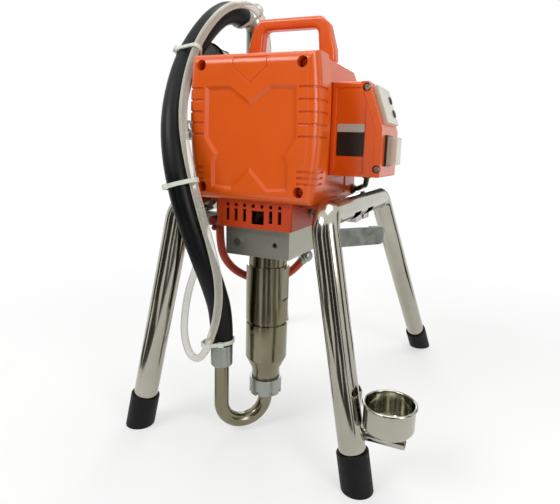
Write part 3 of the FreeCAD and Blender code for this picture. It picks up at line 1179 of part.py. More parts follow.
def motor_rotor():
    """Rotor stack, commutator and pinion on one shaft."""
    axis = (0, S.motor_height)
    back = -S.motor_back + 1
    spindle = shaft(S.motor_shaft, S.second_front, back, *axis)
    stack = shaft(S.rotor_diameter, S.magnet_front, S.magnet_back, *axis)
    commutator = shaft(S.rotor_diameter / 2, S.magnet_back - 2, S.magnet_back - 12, *axis)
    away = math.degrees(math.atan2(number(idler_z()) - number(S.motor_height), number(idler_x())))
    # the idler's large gear has a tooth on its X axis; the pinion shows a gap where the two meet
    idler_phase = (away + 180) / (360.0 / number(S.idler_teeth))
    pinion_turn = away + 360.0 / number(S.pinion_teeth) * (0.5 + idler_phase % 1.0)
    pinion = gear_shape(S.pinion_teeth, S.fine_module, S.second_width, S.second_front, *axis, pinion_turn)
    slots = []
    count = int(number(S.rotor_slots))
    for index in range(count):
        angle = 2 * math.pi * index / count
        reach = number(S.rotor_diameter) / 2
        slots.append(shaft(S.rotor_slot, S.magnet_front + 1, S.magnet_back - 1, reach * math.cos(angle),
                           number(S.motor_height) + reach * math.sin(angle)))
    stack = stack.cut(Part.makeCompound(slots))
    node("motor_rotor", solid("rotor_shape", spindle.fuse([stack, commutator, pinion])))


def motor_fan():
    """Cooling fan pressed on the shaft behind the front plate."""
    axis = (0, S.motor_height)
    front = S.drive_back - S.motor_bearing_width - 1
    disc = shaft(S.fan_diameter, front, front - S.fan_disc, *axis)
    hub = shaft(S.fan_hub, front, front - S.fan_width, *axis)
    blades = []
    count = int(number(S.fan_blades))
    for index in range(count):
        blade = Part.makeBox(number((S.fan_diameter - S.fan_hub) / 2 + S.blade_root - S.blade_short),
                             number(S.fan_width), number(S.blade_wall),
                             point(S.fan_hub / 2 - S.blade_root, -front, S.motor_height - S.blade_wall / 2))
        blade.rotate(point(0, 0, S.motor_height), Vector(0, 1, 0), 360.0 * index / count)
        blades.append(blade)
    body = disc.fuse([hub] + blades)
    body = body.cut(shaft(S.motor_shaft + 2 * S.running_gap, front + 1, front - S.fan_width - 1, *axis))
    node("motor_fan", solid("fan_shape", body))


# Covers.
def barrel_outline(inset, bottom, top):
    """Front view of the cover: straight top and bottom, sides that bulge."""
    low, high = S.cover_half_bottom - inset, S.cover_half_top - inset
    return [(-low, bottom), (low, bottom), (high, top), (-high, top)]


def barrel(name, inset, front_edge):
    """The cover's rounded block, drawn in by an inset all round."""
    outline = barrel_outline(inset, S.cover_bottom + inset, S.cover_top - inset)
    body = plate(name + "_block", "XZ_Plane", S.cover_back - inset, S.cover_front - S.cover_back, outline,
                 arcs={1: S.cover_bulge, 3: S.cover_bulge})
    front = number(S.cover_front - inset)
    return soften(name, body, front_edge, lambda edge: edge.BoundBox.YMax < -front + 0.1)


def mirrored(top, right, bottom):
    """A closed outline from its point on top, its right side from above to below, and its point below."""
    left = [(-a, b) for a, b in reversed(right)]
    return [(Dim.of(0), top)] + right + [(Dim.of(0), bottom)] + left


def recess_outline():
    """The X-shaped sunk field on the cover's face."""
    top, low = S.field_top, S.field_low
    shoulder = top - S.field_tilt / 3
    right = [
        (S.notch_half, top), (S.field_half_top, shoulder), (S.field_half_knee, shoulder - S.knee_drop),
        (S.field_waist, low + S.waist_rise), (S.field_half_low, low + S.low_knee_rise),
        (S.field_half_low, low + S.field_tilt), (S.peak_half, low),
    ]
    return mirrored(top - S.field_notch, right, low + S.field_peak)


def shield_outline(inset):
    """The pointed shield above the sunk field, drawn in by an inset."""
    half, top = S.shield_half - inset, S.cover_top - S.shield_drop - inset
    knee = S.cover_top - S.shield_knee + inset / 2
    tip = S.cover_top - S.shield_tip + inset * math.sqrt(2)
    return [(-half, top), (half, top), (half, knee), (Dim.of(0), tip), (-half, knee)]


def front_cover():
    """Moulded front cover with a sunk X field, a shield line, side grooves and four screw wells."""
    outer = barrel("cover_outer", Dim.of(0), S.cover_edge)
    inner = barrel("cover_inner", S.cover_wall, S.cover_edge - S.cover_wall)
    posts, wells, holes = [], [], []
    for side in (-1, 1):
        for level, height in (("low", S.screw_low), ("high", S.screw_high)):
            tag = "%s_%d" % (level, side)
            post_end = S.drive_front + S.ear_reach
            posts.append(rod("post_" + tag, S.screw_well + 4, S.cover_front - post_end - S.gap - S.well_sink,
                             side * S.screw_half_x, -S.cover_front + S.well_sink, height, "y"))
            wells.append(rod("well_" + tag, S.screw_well, S.screw_well_depth, side * S.screw_half_x,
                             -S.cover_front, height, "y"))
            holes.append(rod("hole_" + tag, S.screw_shank + 2 * S.fit_gap, S.cover_front - post_end,
                             side * S.screw_half_x, -S.cover_front, height, "y"))
    shell = cut("cover_shell", outer, inner)
    body = join("cover_with_posts", shell, *posts)
    field_body = plate("sunk_field", "XZ_Plane", S.cover_front - S.recess_depth, S.recess_depth * 2,
                       recess_outline())
    core = barrel("groove_core", S.groove_deep, S.cover_edge - S.groove_deep)
    levels = [S.groove_first + S.groove_step * index for index in range(int(number(S.groove_rows)))]
    levels += [S.low_groove_first + S.low_groove_step * index for index in range(int(number(S.low_groove_rows)))]
    grooves = []
    for index, level in enumerate(levels):
        for side in (-1, 1):
            low, high = (S.groove_from, S.groove_to) if side > 0 else (-S.groove_to, -S.groove_from)
            grooves.append(slab("groove_%d_%d" % (index, side), low, high, -S.cover_front, -S.groove_back,
                                level - S.groove_tall / 2, level + S.groove_tall / 2))
    ring = cut("groove_rings", join("groove_bars", *grooves), core)
    face = S.cover_front - 2 * S.cover_edge
    shield = plate("shield_line", "XZ_Plane", face, 3 * S.cover_edge, shield_outline(Dim.of(0)),
                   shield_outline(S.shield_line))
    line = cut("shield_groove", shield, barrel("shield_core", S.shield_deep, S.cover_edge - S.shield_deep))
    case_foot = slab("case_foot_notch", -S.drive_half - S.gap, S.drive_half + S.gap, -S.drive_front - S.gap,
                     -S.cover_back, S.cover_bottom, S.cover_bottom + S.cover_wall)
    node("front_cover", cut("cover", body, field_body, ring, line, case_foot, *(wells + holes)))


def cover_screws():
    """Four cross-head screws in the cover's wells."""
    screws = []
    for side in (-1, 1):
        for height in (S.screw_low, S.screw_high):
            head_y = -number(S.cover_front) + number(S.screw_well_depth)
            x, z = side * number(S.screw_half_x), number(height)
            radius = number(S.screw_head) / 2
            head = Part.makeCylinder(radius, number(S.screw_head) * 0.4, Vector(x, head_y, z), Vector(0, -1, 0))
            rims = [edge for edge in head.Edges if edge.Closed and edge.BoundBox.YMax < head_y - 1]
            head = head.makeFillet(1.2, rims)
            reach = number(S.cover_front - S.drive_front) - number(S.screw_well_depth) + number(S.tap_depth) - 9
            shank = Part.makeCylinder(number(S.screw_shank) / 2, reach, Vector(x, head_y, z), Vector(0, 1, 0))
            top = head_y - number(S.screw_head) * 0.4
            slots = [Part.makeBox(5, 1.6, 1, Vector(x - 2.5, top, z - 0.5)),
                     Part.makeBox(1, 1.6, 5, Vector(x - 0.5, top, z - 2.5))]
            screws.append(solid("cover_screw_%d_%d" % (side, int(z)), head.fuse(shank).cut(slots)))
    node("cover_screws", group("cover_screw_set", *screws))


def housing_profile(inset):
    """Side view of the rear housing: flat top, sloped at the rear."""
    low, back, top = S.tray_top, S.housing_back - inset, S.housing_top - inset
    return [(-S.cover_back, low), (back, low), (back, top - S.housing_slope), (-S.slope_start - inset, top),
            (-S.cover_back, top)]


def rear_housing():
    """Box-shaped cover over the motor, open towards the front cover and the tray."""
    half, wall = S.housing_half, S.housing_wall
    outer = plate("housing_outer", "YZ_Plane", -half, half * 2, housing_profile(Dim.of(0)))
    rounded = soften("housing_rounded", outer, S.housing_edge,
                     lambda edge: edge.BoundBox.ZMin > number(S.housing_top) - number(S.housing_slope) - 1
                     and abs(edge.BoundBox.XMin) > number(half) - 0.1 and edge.BoundBox.XLength < 0.1)
    inner = plate("housing_inner", "YZ_Plane", -half + wall, (half - wall) * 2, housing_profile(wall))
    panel = slab("side_panel", half - S.panel_depth, half, -S.side_panel_front, -S.side_panel_back,
                 S.side_panel_low, S.side_panel_high)
    panel_left = slab("side_panel_left", -half, -half + S.panel_depth, -S.side_panel_front, -S.side_panel_back,
                      S.side_panel_low, S.side_panel_high)
    vents = []
    for index in range(-4, 5):
        middle = index * S.vent_slot_step
        vents.append(slab("rear_vent_%d" % index, middle - S.vent_slot_width / 2, middle + S.vent_slot_width / 2,
                          S.housing_back - 2 * wall, S.housing_back + 1, S.rear_vent_low, S.rear_vent_high))
    lead_hole = rod("grommet_hole", S.gland_diameter - 3, 4 * wall, half - 2 * wall, S.grommet_y, S.grommet_z, "x")
    inlet_hole = rod("inlet_hole", S.gland_diameter - 3, 4 * wall, S.inlet_x, S.housing_back - 2 * wall,
                     S.inlet_height, "y")
    screw_ways = [rod("handle_way_%d" % side, S.machine_screw + 2 * S.fit_gap, 2 * wall,
                      side * S.handle_screw_x, -S.handle_back, S.housing_top - 1.5 * wall) for side in (-1, 1)]
    node("rear_housing", cut("housing", rounded, inner, panel, panel_left, lead_hole, inlet_hole,
                             *(vents + screw_ways)))


def handle():
    """Moulded carrying handle: a broad hoop whose two posts stand on the housing's top."""
    base, top, low = S.handle_base_half, S.handle_top, S.housing_top
    shoulder, corner, under = S.handle_top_half, S.handle_corner, S.handle_top - S.handle_bar
    post, turn = base - S.handle_post, S.post_corner
    head = post - S.post_lean
    outline = [
        (-base, low), (-post, low), (-head, under - turn), (turn - head, under), (head - turn, under),
        (head, under - turn), (post, low), (base, low), (base - S.handle_step, low + S.handle_foot),
        (shoulder, top - corner), (shoulder - corner, top), (corner - shoulder, top), (-shoulder, top - corner),
        (S.handle_step - base, low + S.handle_foot),
    ]
    body = plate("handle_loop", "XZ_Plane", S.handle_back - S.handle_depth / 2, S.handle_depth, outline)
    rounded = soften("handle_rounded", body, S.handle_edge,
                     lambda edge: edge.BoundBox.YLength < 0.1 and edge.BoundBox.ZMax > number(low) + 1)
    taps = [rod("handle_tap_%d" % side, S.machine_screw + 2 * S.fit_gap, S.screw_reach + 1,
                side * S.handle_screw_x, -S.handle_back, low) for side in (-1, 1)]
    node("handle", cut("handle_shape", rounded, *taps))


# Control box on the right side of the rear housing.
def box_outline(inset, right):
    """Front view of the box without its lid: sloped at the upper right."""
    left = S.housing_half + inset
    low, top = S.box_bottom + inset, S.box_top - inset
    slope = S.box_right - S.box_top_right
    return [(left, low), (right - inset, low), (right - inset, S.box_knee), (right - slope - inset, top), (left, top)]


def control_box():
    """Body of the box: front wall with a sunk panel, open towards the lid."""
    right = S.box_right - S.lid_thickness
    depth = S.box_front - S.box_back
    body = plate("box_block", "XZ_Plane", S.box_back, depth, box_outline(Dim.of(0), right))
    rounded = soften("box_rounded", body, S.box_edge,
                     lambda edge: edge.BoundBox.YMax < -number(S.box_front) + 0.1
                     and edge.BoundBox.XMax < number(right) - 1)
    wall = S.box_wall
    hollow = plate("box_hollow", "XZ_Plane", S.box_back + wall, depth - 2 * wall,
                   [(S.housing_half + wall, S.box_bottom + wall), (right, S.box_bottom + wall),
                    (right, S.box_knee), (right - slope_run(S.box_top - wall), S.box_top - wall),
                    (S.housing_half + wall, S.box_top - wall)])
    panel = slab("front_panel", S.panel_left, S.panel_right, -S.box_front - 1, -S.box_front + S.panel_depth,
                 S.box_bottom + S.panel_margin, S.box_top - S.panel_margin - 2)
    gland_hole = rod("gland_hole", S.gland_diameter - 3, 3 * wall, S.gland_x, -S.gland_back, S.box_bottom - wall)
    node("control_box", cut("box_shell", rounded, hollow, panel, gland_hole, *lid_pockets("box")))


def slope_run(height):
    """How far the sloped face has moved left of the box's right side at a height."""
    return (height - S.box_knee) * (S.box_right - S.box_top_right) / (S.box_top - S.box_knee)


def lid_screw_spots():
    """The lid is held at its upper and lower front corners, in the middle of its thickness."""
    high = S.box_top - S.lid_screw_inset
    low = S.box_bottom + S.lid_screw_inset + 3
    middle = S.box_right - S.lid_thickness / 2
    return [(middle - slope_run(high), high), (middle, low)]


def lid_pockets(tag):
    """The round pockets that the two lid screws sit in."""
    return [rod("%s_pocket_%d" % (tag, index), S.lid_pocket, S.lid_pocket_depth, x, -S.box_front, z, "y")
            for index, (x, z) in enumerate(lid_screw_spots())]


def control_lid():
    """Right side of the box: a thick angled cover that carries the display and the switch."""
    thick = S.lid_thickness
    right, knee, top = S.box_right, S.box_knee, S.box_top
    slope = S.box_right - S.box_top_right
    outline = [(right - thick, S.box_bottom), (right, S.box_bottom), (right, knee), (right - slope, top),
               (right - slope - thick, top), (right - thick, knee)]
    body = plate("lid_block", "XZ_Plane", S.box_back, S.box_front - S.box_back, outline)
    rounded = soften("lid_rounded", body, S.lid_edge,
                     lambda edge: edge.BoundBox.YLength > 50 and edge.BoundBox.XMin > number(S.box_top_right) + 1)
    wide, tall = S.bezel_width / 2 - S.switch_lip, S.bezel_tall / 2 - S.switch_lip
    switch_way = slab("switch_way", right - thick, right, -S.switch_back - wide, -S.switch_back + wide,
                      S.switch_height - tall, S.switch_height + tall)
    display_way = on_slope(slab("display_way", 0, thick * 3, -S.lens_front + S.display_margin,
                                -S.lens_back - S.display_margin, S.lens_start + S.display_margin,
                                S.lens_start + S.lens_length - S.display_margin), -thick * 1.5)
    node("control_lid", cut("lid_shape", rounded, switch_way, display_way, *lid_pockets("lid")))


def slope_turn():
    """The lid's upper face leans back by this angle about Y."""
    slope = number(S.box_right) - number(S.box_top_right)
    return -math.degrees(math.atan2(slope, number(S.box_top) - number(S.box_knee)))


def on_slope(piece, out):
    """Moves a block made about the origin on to the lid's sloped face; out is how far it stands off."""
    turn = FreeCAD.Rotation(Vector(0, 1, 0), slope_turn())
    base = turn.multVec(piece.Placement.Base + point(out, 0, 0)) + point(S.box_right, 0, S.box_knee)
    return turned(piece, turn.multiply(piece.Placement.Rotation), base.x, base.y, base.z)


def display_window():
    """Clear cover over the display, a shallow box open underneath."""
    outer = on_slope(slab("window_outer", 0, S.lens_height, -S.lens_front, -S.lens_back, S.lens_start,
                          S.lens_start + S.lens_length), 0)
    wall = S.lens_wall
    inner = on_slope(slab("window_inner", 0, S.lens_height - wall, -S.lens_front + wall, -S.lens_back - wall,
                          S.lens_start + wall, S.lens_start + S.lens_length - wall), 0)
    ways = []
    for index, spot in enumerate(key_spots()):
        ways.append(on_slope(rod("window_key_way_%d" % index, S.key_diameter + 2 * S.gap, S.lens_height * 2, 0,
                                 spot[0], spot[1], "x"), 0))
    node("display_window", cut("window_shape", outer, inner, *ways))


def key_spots():
    """Depth along Y and height up the slope of the two keys."""
    middle = S.lens_start + S.lens_length / 2
    return [(-S.key_back, middle + S.key_step / 2), (-S.key_back, middle - S.key_step / 2)]


def keys():
    """Two round push keys that stand just proud of the window."""
    for label, spot in zip(("key_up", "key_down"), key_spots()):
        stem = on_slope(rod(label + "_cap", S.key_diameter, S.lens_height + S.key_proud - S.lens_bed, 0, spot[0],
                            spot[1], "x"), S.lens_bed)
        round_cap = soften(label + "_round", stem, S.key_edge,
                           lambda edge: edge.Closed and slope_height(edge) > number(S.lens_height))
        node(label, round_cap)


def slope_height(edge):
    """How far an edge's middle stands off the lid's sloped face."""
    turn = FreeCAD.Rotation(Vector(0, 1, 0), slope_turn())
    away = edge.BoundBox.Center - point(S.box_right, 0, S.box_knee)
    return turn.multVec(Vector(1, 0, 0)).dot(away)


def control_board():
    """Circuit board with a few parts and the display module, standing on the lid's inner face."""
    board = on_slope(slab("board_plate", 0, S.board_thickness, -S.lens_front - S.board_trim,
                          -S.lens_back + S.board_trim, S.lens_start, S.lens_start + S.lens_length - S.board_trim),
                     -S.lid_thickness - S.board_thickness)
    display = on_slope(slab("display", 0, S.lid_thickness + S.lens_bed, -S.lens_front + S.display_margin + S.gap,
                            -S.key_back - S.key_diameter, S.lens_start + S.display_margin + S.gap,
                            S.lens_start + S.lens_length - S.display_margin - S.gap), -S.lid_thickness)
    posts = [on_slope(rod("key_post_%d" % index, S.key_post, S.lid_thickness + S.lens_bed - S.key_travel - S.fit_gap,
                          -S.lid_thickness, spot[0], spot[1], "x"), 0) for index, spot in enumerate(key_spots())]
    node("control_board", join("board_with_display", board, display, *posts))


def switch_frame():
    """Rocker switch: black bezel outside and body inside the lid."""
    right, back, height = S.box_right, S.switch_back, S.switch_height
    wide, tall = S.bezel_width / 2, S.bezel_tall / 2
    bezel = slab("bezel", right, right + S.bezel_thick, -back - wide, -back + wide, height - tall, height + tall)
    inset = S.switch_lip + S.fit_gap
    body = slab("switch_body", right - S.switch_depth, right, -back - wide + inset, -back + wide - inset,
                height - tall + inset, height + tall - inset)
    room_wide, room_tall = S.rocker_width / 2 + S.gap, S.rocker_tall / 2 + S.gap
    room = slab("rocker_room", right - S.rocker_drop, right + S.bezel_thick, -back - room_wide, -back + room_wide,
                height - room_tall, height + room_tall)
    pin_way = rocker_bar("rocker_pin_way", S.rocker_pin + 2 * S.running_gap, room_wide + S.pin_bite)
    node("switch_frame", cut("switch_shape", join("switch_join", bezel, body), room, pin_way))


def rocker_bar(name, diameter, half):
    """A round bar on the rocker's hinge axis, half its length to either side of the switch's middle."""
    return rod(name, diameter, Dim.of(half) * 2, S.box_right - S.rocker_drop / 2, -S.switch_back - half,
               S.switch_height, "y")


def switch_rocker():
    """Rocker with two sloped faces; it tilts on its own pin, held in the switch's side walls."""
    right, back, height = S.box_right, S.switch_back, S.switch_height
    half, wide = S.rocker_tall / 2, S.rocker_width / 2
    proud = S.bezel_thick + 1.5
    outline = [(right - S.rocker_drop / 2, height - S.rocker_keel), (right + proud - 0.5, height - half + 1),
               (right + 1, height), (right + proud - 2.5, height + half - 1),
               (right - S.rocker_drop / 2, height + S.rocker_keel)]
    body = plate("rocker_block", "XZ_Plane", back - wide, wide * 2, outline)
    hub = rocker_bar("rocker_hub_bar", S.rocker_hub, wide)
    pin = rocker_bar("rocker_pin_bar", S.rocker_pin, wide + S.pin_bite)
    node("switch_rocker", join("rocker_on_pin", body, hub, pin))


def switch_boot():
    """Clear splash boot over the rocker, standing on the bezel."""
    right, back, height = S.box_right + S.bezel_thick, S.switch_back, S.switch_height
    wide, tall, wall = S.bezel_width / 2 - 1, S.bezel_tall / 2 - 2, S.boot_wall
    outer = slab("boot_outer", right, right + S.boot_depth, -back - wide, -back + wide, height - tall, height + tall)
    rounded = soften("boot_rounded", outer, S.boot_edge,
                     lambda edge: edge.BoundBox.XMin > number(right) + 1)
    inner = slab("boot_inner", right, right + S.boot_depth - wall, -back - wide + wall, -back + wide - wall,
                 height - tall + wall, height + tall - wall)
    node("switch_boot", cut("boot_shape", rounded, inner))


def lid_screws():
    screws = []
    for index, (x, z) in enumerate(lid_screw_spots()):
        floor = -number(S.box_front) + number(S.lid_pocket_depth)
        head = Part.makeCylinder(number(S.lid_screw_head) / 2, 2.6, point(x, floor, z), Vector(0, -1, 0))
        rims = [edge for edge in head.Edges if edge.Closed and edge.BoundBox.YMax < floor - 1]
        head = head.makeFillet(0.9, rims)
        cross = [Part.makeBox(4, 1, 0.8, point(x - 2, floor - 2.6, z - 0.4)),
                 Part.makeBox(0.8, 1, 4, point(x - 0.4, floor - 2.6, z - 2))]
        screws.append(solid("lid_screw_%d" % index, head.cut(cross)))
    node("lid_screws", group("lid_screw_set", *screws))


def cable_glands():
    """Three alike glands: under the box, in the housing's side and for the mains lead at the rear."""
    glands = []
    spots = (
        ("box", point(S.gland_x, -S.gland_back, S.box_bottom), Vector(0, 0, -1)),
        ("side", point(S.housing_half, S.grommet_y, S.grommet_z), Vector(1, 0, 0)),
        ("mains", point(S.inlet_x, S.housing_back, S.inlet_height), Vector(0, 1, 0)),
    )
    outer, length, cable = number(S.gland_diameter), number(S.gland_length), number(S.cable_diameter)
    for name, spot, out in spots:
        collar = Part.makeCylinder(outer / 2, length * 0.45, spot, out)
        nose = Part.makeCone(outer / 2 - 1, cable / 2 + 1.4, length * 0.55, spot + out * (length * 0.45), out)
        stem = Part.makeCylinder(outer / 2 - 1.7, number(S.housing_wall) + 2, spot, out * -1)
        bore = Part.makeCylinder(cable / 2 + number(S.fit_gap), length * 2, spot - out * length * 0.5, out)
        glands.append(solid("gland_" + name, collar.fuse([nose, stem]).cut(bore)))
    node("cable_glands", group("gland_set", *glands))


def control_cable():
    """Short black lead, held at both ends, from the box into the rear housing."""
    points = [
        point(S.gland_x, -S.gland_back, S.box_bottom - 1),
        point(S.gland_x, -S.gland_back, S.cable_sag + 6),
        point(S.gland_x - 3, -S.gland_back + 8, S.cable_sag),
        point(S.gland_x - 8, S.grommet_y - 12, S.cable_sag - 2),
        point(S.housing_half + 14, S.grommet_y - 3, S.cable_sag - 4),
        point(S.housing_half + 7, S.grommet_y, S.grommet_z),
        point(S.housing_half - 1, S.grommet_y, S.grommet_z),
    ]
    node("control_cable", hose_solid("control_cable_shape", points, number(S.cable_diameter)))


# Filter column, gauge and prime valve on the left.
def filter_housing():
    """Upright filter body with a hexagon cap, its manifold above the frame's bar and the riser below."""
    x, y = -S.column_x, -S.column_back
    column = rod("column", S.column_diameter, S.column_top - S.column_bottom, x, y, S.column_bottom)
    base, half = S.manifold_bottom, S.manifold_half
    block = slab("manifold", x - half, -S.housing_half, y - half, y + half, base, S.column_bottom)
    nose = slab("manifold_nose", -S.riser_x - S.riser, -S.housing_half, -S.riser_y - S.riser, y - half, base,
                S.column_bottom)
    riser = rod("riser", S.riser, base - S.valve_top, -S.riser_x, -S.riser_y, S.valve_top)
    neck = rod("gauge_neck", S.gauge_stem, S.gauge_height - S.gauge_diameter / 2 - S.gap - S.column_top, x, y,
               S.column_top)
    cap = doc.addObject("Part::Prism", "column_cap")
    cap.Polygon = 6
    bind(cap, "Circumradius", S.column_diameter / 2 + 1)
    bind(cap, "Height", S.cap_rise)
    place(cap, x, y, S.column_top - S.cap_rise - S.cap_drop)
    lug = slab("column_lug", x, -S.housing_half, y - S.lug_height / 4, y + S.lug_height / 4,
               S.column_top - 2 * S.lug_height, S.column_top - S.lug_height)
    bore = rod("column_bore", S.column_diameter - 2 * S.column_wall,
               S.column_top - S.column_bottom - S.column_floor - S.column_roof, x, y, S.column_bottom + S.column_floor)
    reach = S.column_diameter / 2 + S.outlet_boss
    outlet = rod("outlet_boss", S.outlet_radius * 2 + 4, reach, x - reach, y, S.outlet_height, "x")
    body = join("filter_body", column, block, nose, riser, neck, cap, outlet, lug)
    node("filter_housing", cut("filter_shape", body, bore))


def outlet_fitting():
    """Threaded nipple for the spray hose."""
    x, y = -S.column_x - S.column_diameter / 2 - S.outlet_boss, -S.column_back
    pipe = rod("nipple", S.outlet_radius * 2, S.outlet_length, x - S.outlet_length, y, S.outlet_height, "x")
    flat = doc.addObject("Part::Prism", "nipple_hexagon")
    flat.Polygon = 6
    bind(flat, "Circumradius", S.outlet_radius + 2)
    bind(flat, "Height", S.outlet_length / 3)
    flat.Placement = FreeCAD.Placement(Vector(), TURN["x"])
    place(flat, x - S.outlet_length / 3, y, S.outlet_height, TURN["x"])
    bore = rod("nipple_bore", S.outlet_radius, S.outlet_length, x - S.outlet_length, y, S.outlet_height, "x")
    return cut("fitting_shape", join("fitting_body", pipe, flat), bore)


def gauge():
    """Round dial gauge facing the front, its needle on a pin, and the lens in the rim."""
    x, z = -S.column_x, S.gauge_height
    back = -S.column_back + S.gauge_depth / 2
    front = back - S.gauge_depth
    case = rod("gauge_can", S.gauge_diameter, S.gauge_depth, x, front, z, "y")
    room = rod("gauge_room", S.gauge_diameter - 2 * S.gauge_wall, S.gauge_room, x, front, z, "y")
    pin = rod("gauge_pin", S.needle_pin, S.gauge_room - S.lens_sink, x, front + S.lens_sink, z, "y")
    node("gauge_case", join("gauge_shape", cut("gauge_cup", case, room), pin))
    needle_front = front + S.gauge_room - 2 * S.needle_thick
    hub = rod("needle_hub", S.needle_pin * 2.4, S.needle_thick, x, needle_front, z, "y")
    arm = slab("needle_arm", 0, S.needle_wide, 0, S.needle_thick, -S.needle_length, S.needle_tail)
    tilt = FreeCAD.Rotation(Vector(0, 1, 0), number(S.needle_rest))
    start = tilt.multVec(point(-S.needle_wide / 2, 0, -S.needle_length))
    turned(arm, tilt, x + start.x, needle_front, z + start.z)
    hole = rod("needle_hole", S.needle_pin + 2 * S.running_gap, S.needle_thick, x, needle_front, z, "y")
    node("gauge_needle", cut("needle_shape", join("needle_body", hub, arm), hole))
    lens = rod("lens_disc", S.gauge_diameter - 2 * S.gauge_wall - 2 * S.fit_gap, S.lens_wall, x,
               front + S.lens_sink - S.lens_wall - S.gap, z, "y")
    node("gauge_lens", lens)


def prime_valve():
    """Valve block below the frame's bar, on the riser's end, with the drain barb below."""
    y, half = -S.riser_y, S.valve_half
    block = slab("valve_block", -S.valve_left, -S.riser_x + half, y - half, y + half, S.valve_top - 2 * half,
                 S.valve_top)
    stem_length = S.knob_length - S.knob_face
    stem = rod("valve_stem", S.valve_stem, stem_length, -S.riser_x, y - half - stem_length, S.valve_top - half, "y")
    shoulder = rod("barb_shoulder", S.drain_diameter, S.valve_top - half - S.drain_top, -S.drain_x, y, S.drain_top)
    barb = rod("barb", S.drain_bore - 2 * S.fit_gap, S.barb_length + 1, -S.drain_x, y, S.drain_top - S.barb_length)
    node("prime_valve", join("valve_shape", block, stem, shoulder, barb))


def valve_knob():
    """Small dark red knob with a ball lever."""
    x, front = -S.riser_x, -S.riser_y - S.valve_half - S.gap
    level = S.valve_top - S.valve_half
    body = rod("knob_body", S.knob_diameter, S.knob_length, x, front - S.knob_length, level, "y")
    rounded = soften("knob_rounded", body, S.knob_edge,
                     lambda edge: edge.Closed and edge.BoundBox.YMax < number(front) - 1)
    lever_y = front - S.knob_length / 2
    lever = rod("lever", S.lever_rod, S.lever_reach, x, lever_y, level - S.lever_reach)
    tip = ball("lever_ball", S.lever_ball, x, lever_y, level - S.lever_reach)
    hole = rod("knob_hole", S.valve_stem + 2 * S.running_gap, S.knob_length - S.knob_face,
               x, front - S.knob_length + S.knob_face, level, "y")
    node("valve_knob", cut("knob_shape", join("knob_join", rounded, lever, tip), hole))


def elbow_middle():
    """The middle of the elbow under the bearing block."""
    return point(S.elbow_x, -S.port_back, S.block_bottom - S.elbow_drop)


def elbow_heading():
    """The way the elbow's nose points, towards the link hose."""
    lean = math.radians(number(S.elbow_lean))
    return Vector(-math.sin(lean), 0, -math.cos(lean))


def block_elbow():
    """Elbow screwed into the block's underside; its round body turns the hose's end to the left."""
    middle, nose = elbow_middle(), elbow_heading()
    body = Part.makeSphere(number(S.elbow_ball) / 2, middle)
    stem = Part.makeCylinder(number(S.elbow_stem) / 2, number(S.elbow_drop + S.port_rise - S.fit_gap), middle)
    reach = Part.makeCylinder(number(S.elbow_nose) / 2, number(S.elbow_reach), middle, nose)
    return solid("block_elbow", body.fuse([stem, reach]))


def link_hose():
    """Orange hose that takes paint from the bearing block's outlet round to the valve, with its end sleeves."""
    start = point(-S.riser_x, -S.riser_y, S.valve_top - 2 * S.valve_half)
    end = elbow_middle() + elbow_heading() * number(S.elbow_reach)
    points = tied(LINK_ROUTE, start, end)
    hose = hose_solid("link_line", points, number(S.link_diameter))
    radius = number(S.link_ferrule) / 2
    top_sleeve = Part.makeCylinder(radius, number(S.link_ferrule_length), start, Vector(0, 0, -1))
    end_sleeve = Part.makeCylinder(radius, number(S.link_end_length), end, elbow_heading())
    node("link_hose", join("link_shape", hose, solid("link_top_sleeve", top_sleeve),
                           solid("link_end_sleeve", end_sleeve)))
    node("hose_fittings", group("fitting_pair", outlet_fitting(), block_elbow()))


def belt_face(centre, other, radius, other_radius, along):
    """What a belt drawn tight round two circles in one plane takes in."""
    out = Vector(other - centre)
    turn = math.acos((radius - other_radius) / out.Length)
    out.normalize()
    side = along.cross(out)

    def spot(middle, size, angle):
        return middle + (out * math.cos(angle) + side * math.sin(angle)) * size

    edges = [
        Part.Arc(spot(centre, radius, turn), spot(centre, radius, math.pi), spot(centre, radius, -turn)),
        Part.LineSegment(spot(centre, radius, -turn), spot(other, other_radius, -turn)),
        Part.Arc(spot(other, other_radius, -turn), spot(other, other_radius, 0), spot(other, other_radius, turn)),
        Part.LineSegment(spot(other, other_radius, turn), spot(centre, radius, turn)),
    ]
    return Part.Face(Part.Wire([edge.toShape() for edge in edges]))


def tie_round(name, centre, along, near, lean):
    """A tie round the hose at centre and the tube at near, its head towards the front; lean is the tube's slant."""
    width, thick, gap = number(S.tie_width), number(S.tie_thickness), number(S.tie_gap)
    radius = number(S.hose_diameter) / 2 + gap
    other_radius = number(S.drain_diameter) / 2 + gap + math.tan(lean) * (width / 2 + thick)
    shift = along * (-width / 2)
    outer = belt_face(centre + shift, near + shift, radius + thick, other_radius + thick, along)
    inner = belt_face(centre + shift, near + shift, radius, other_radius, along)
    front = Vector(0, -1, 0) - Vector(near - centre).normalize() * 0.6
    out = Vector(front - along * front.dot(along)).normalize()
    side = along.cross(out)
    across, tall = number(S.tie_head), width + 2 * gap
    corner = centre + out * (radius + thick / 2) - side * (across / 2) - along * (tall / 2)
    loop = [corner, corner + side * across, corner + side * across + along * tall, corner + along * tall, corner]
    head = Part.Face(Part.makePolygon(loop)).extrude(out * number(S.tie_head_rise))
    return solid(name, outer.extrude(along * width).fuse(head).cut(inner.extrude(along * width)))


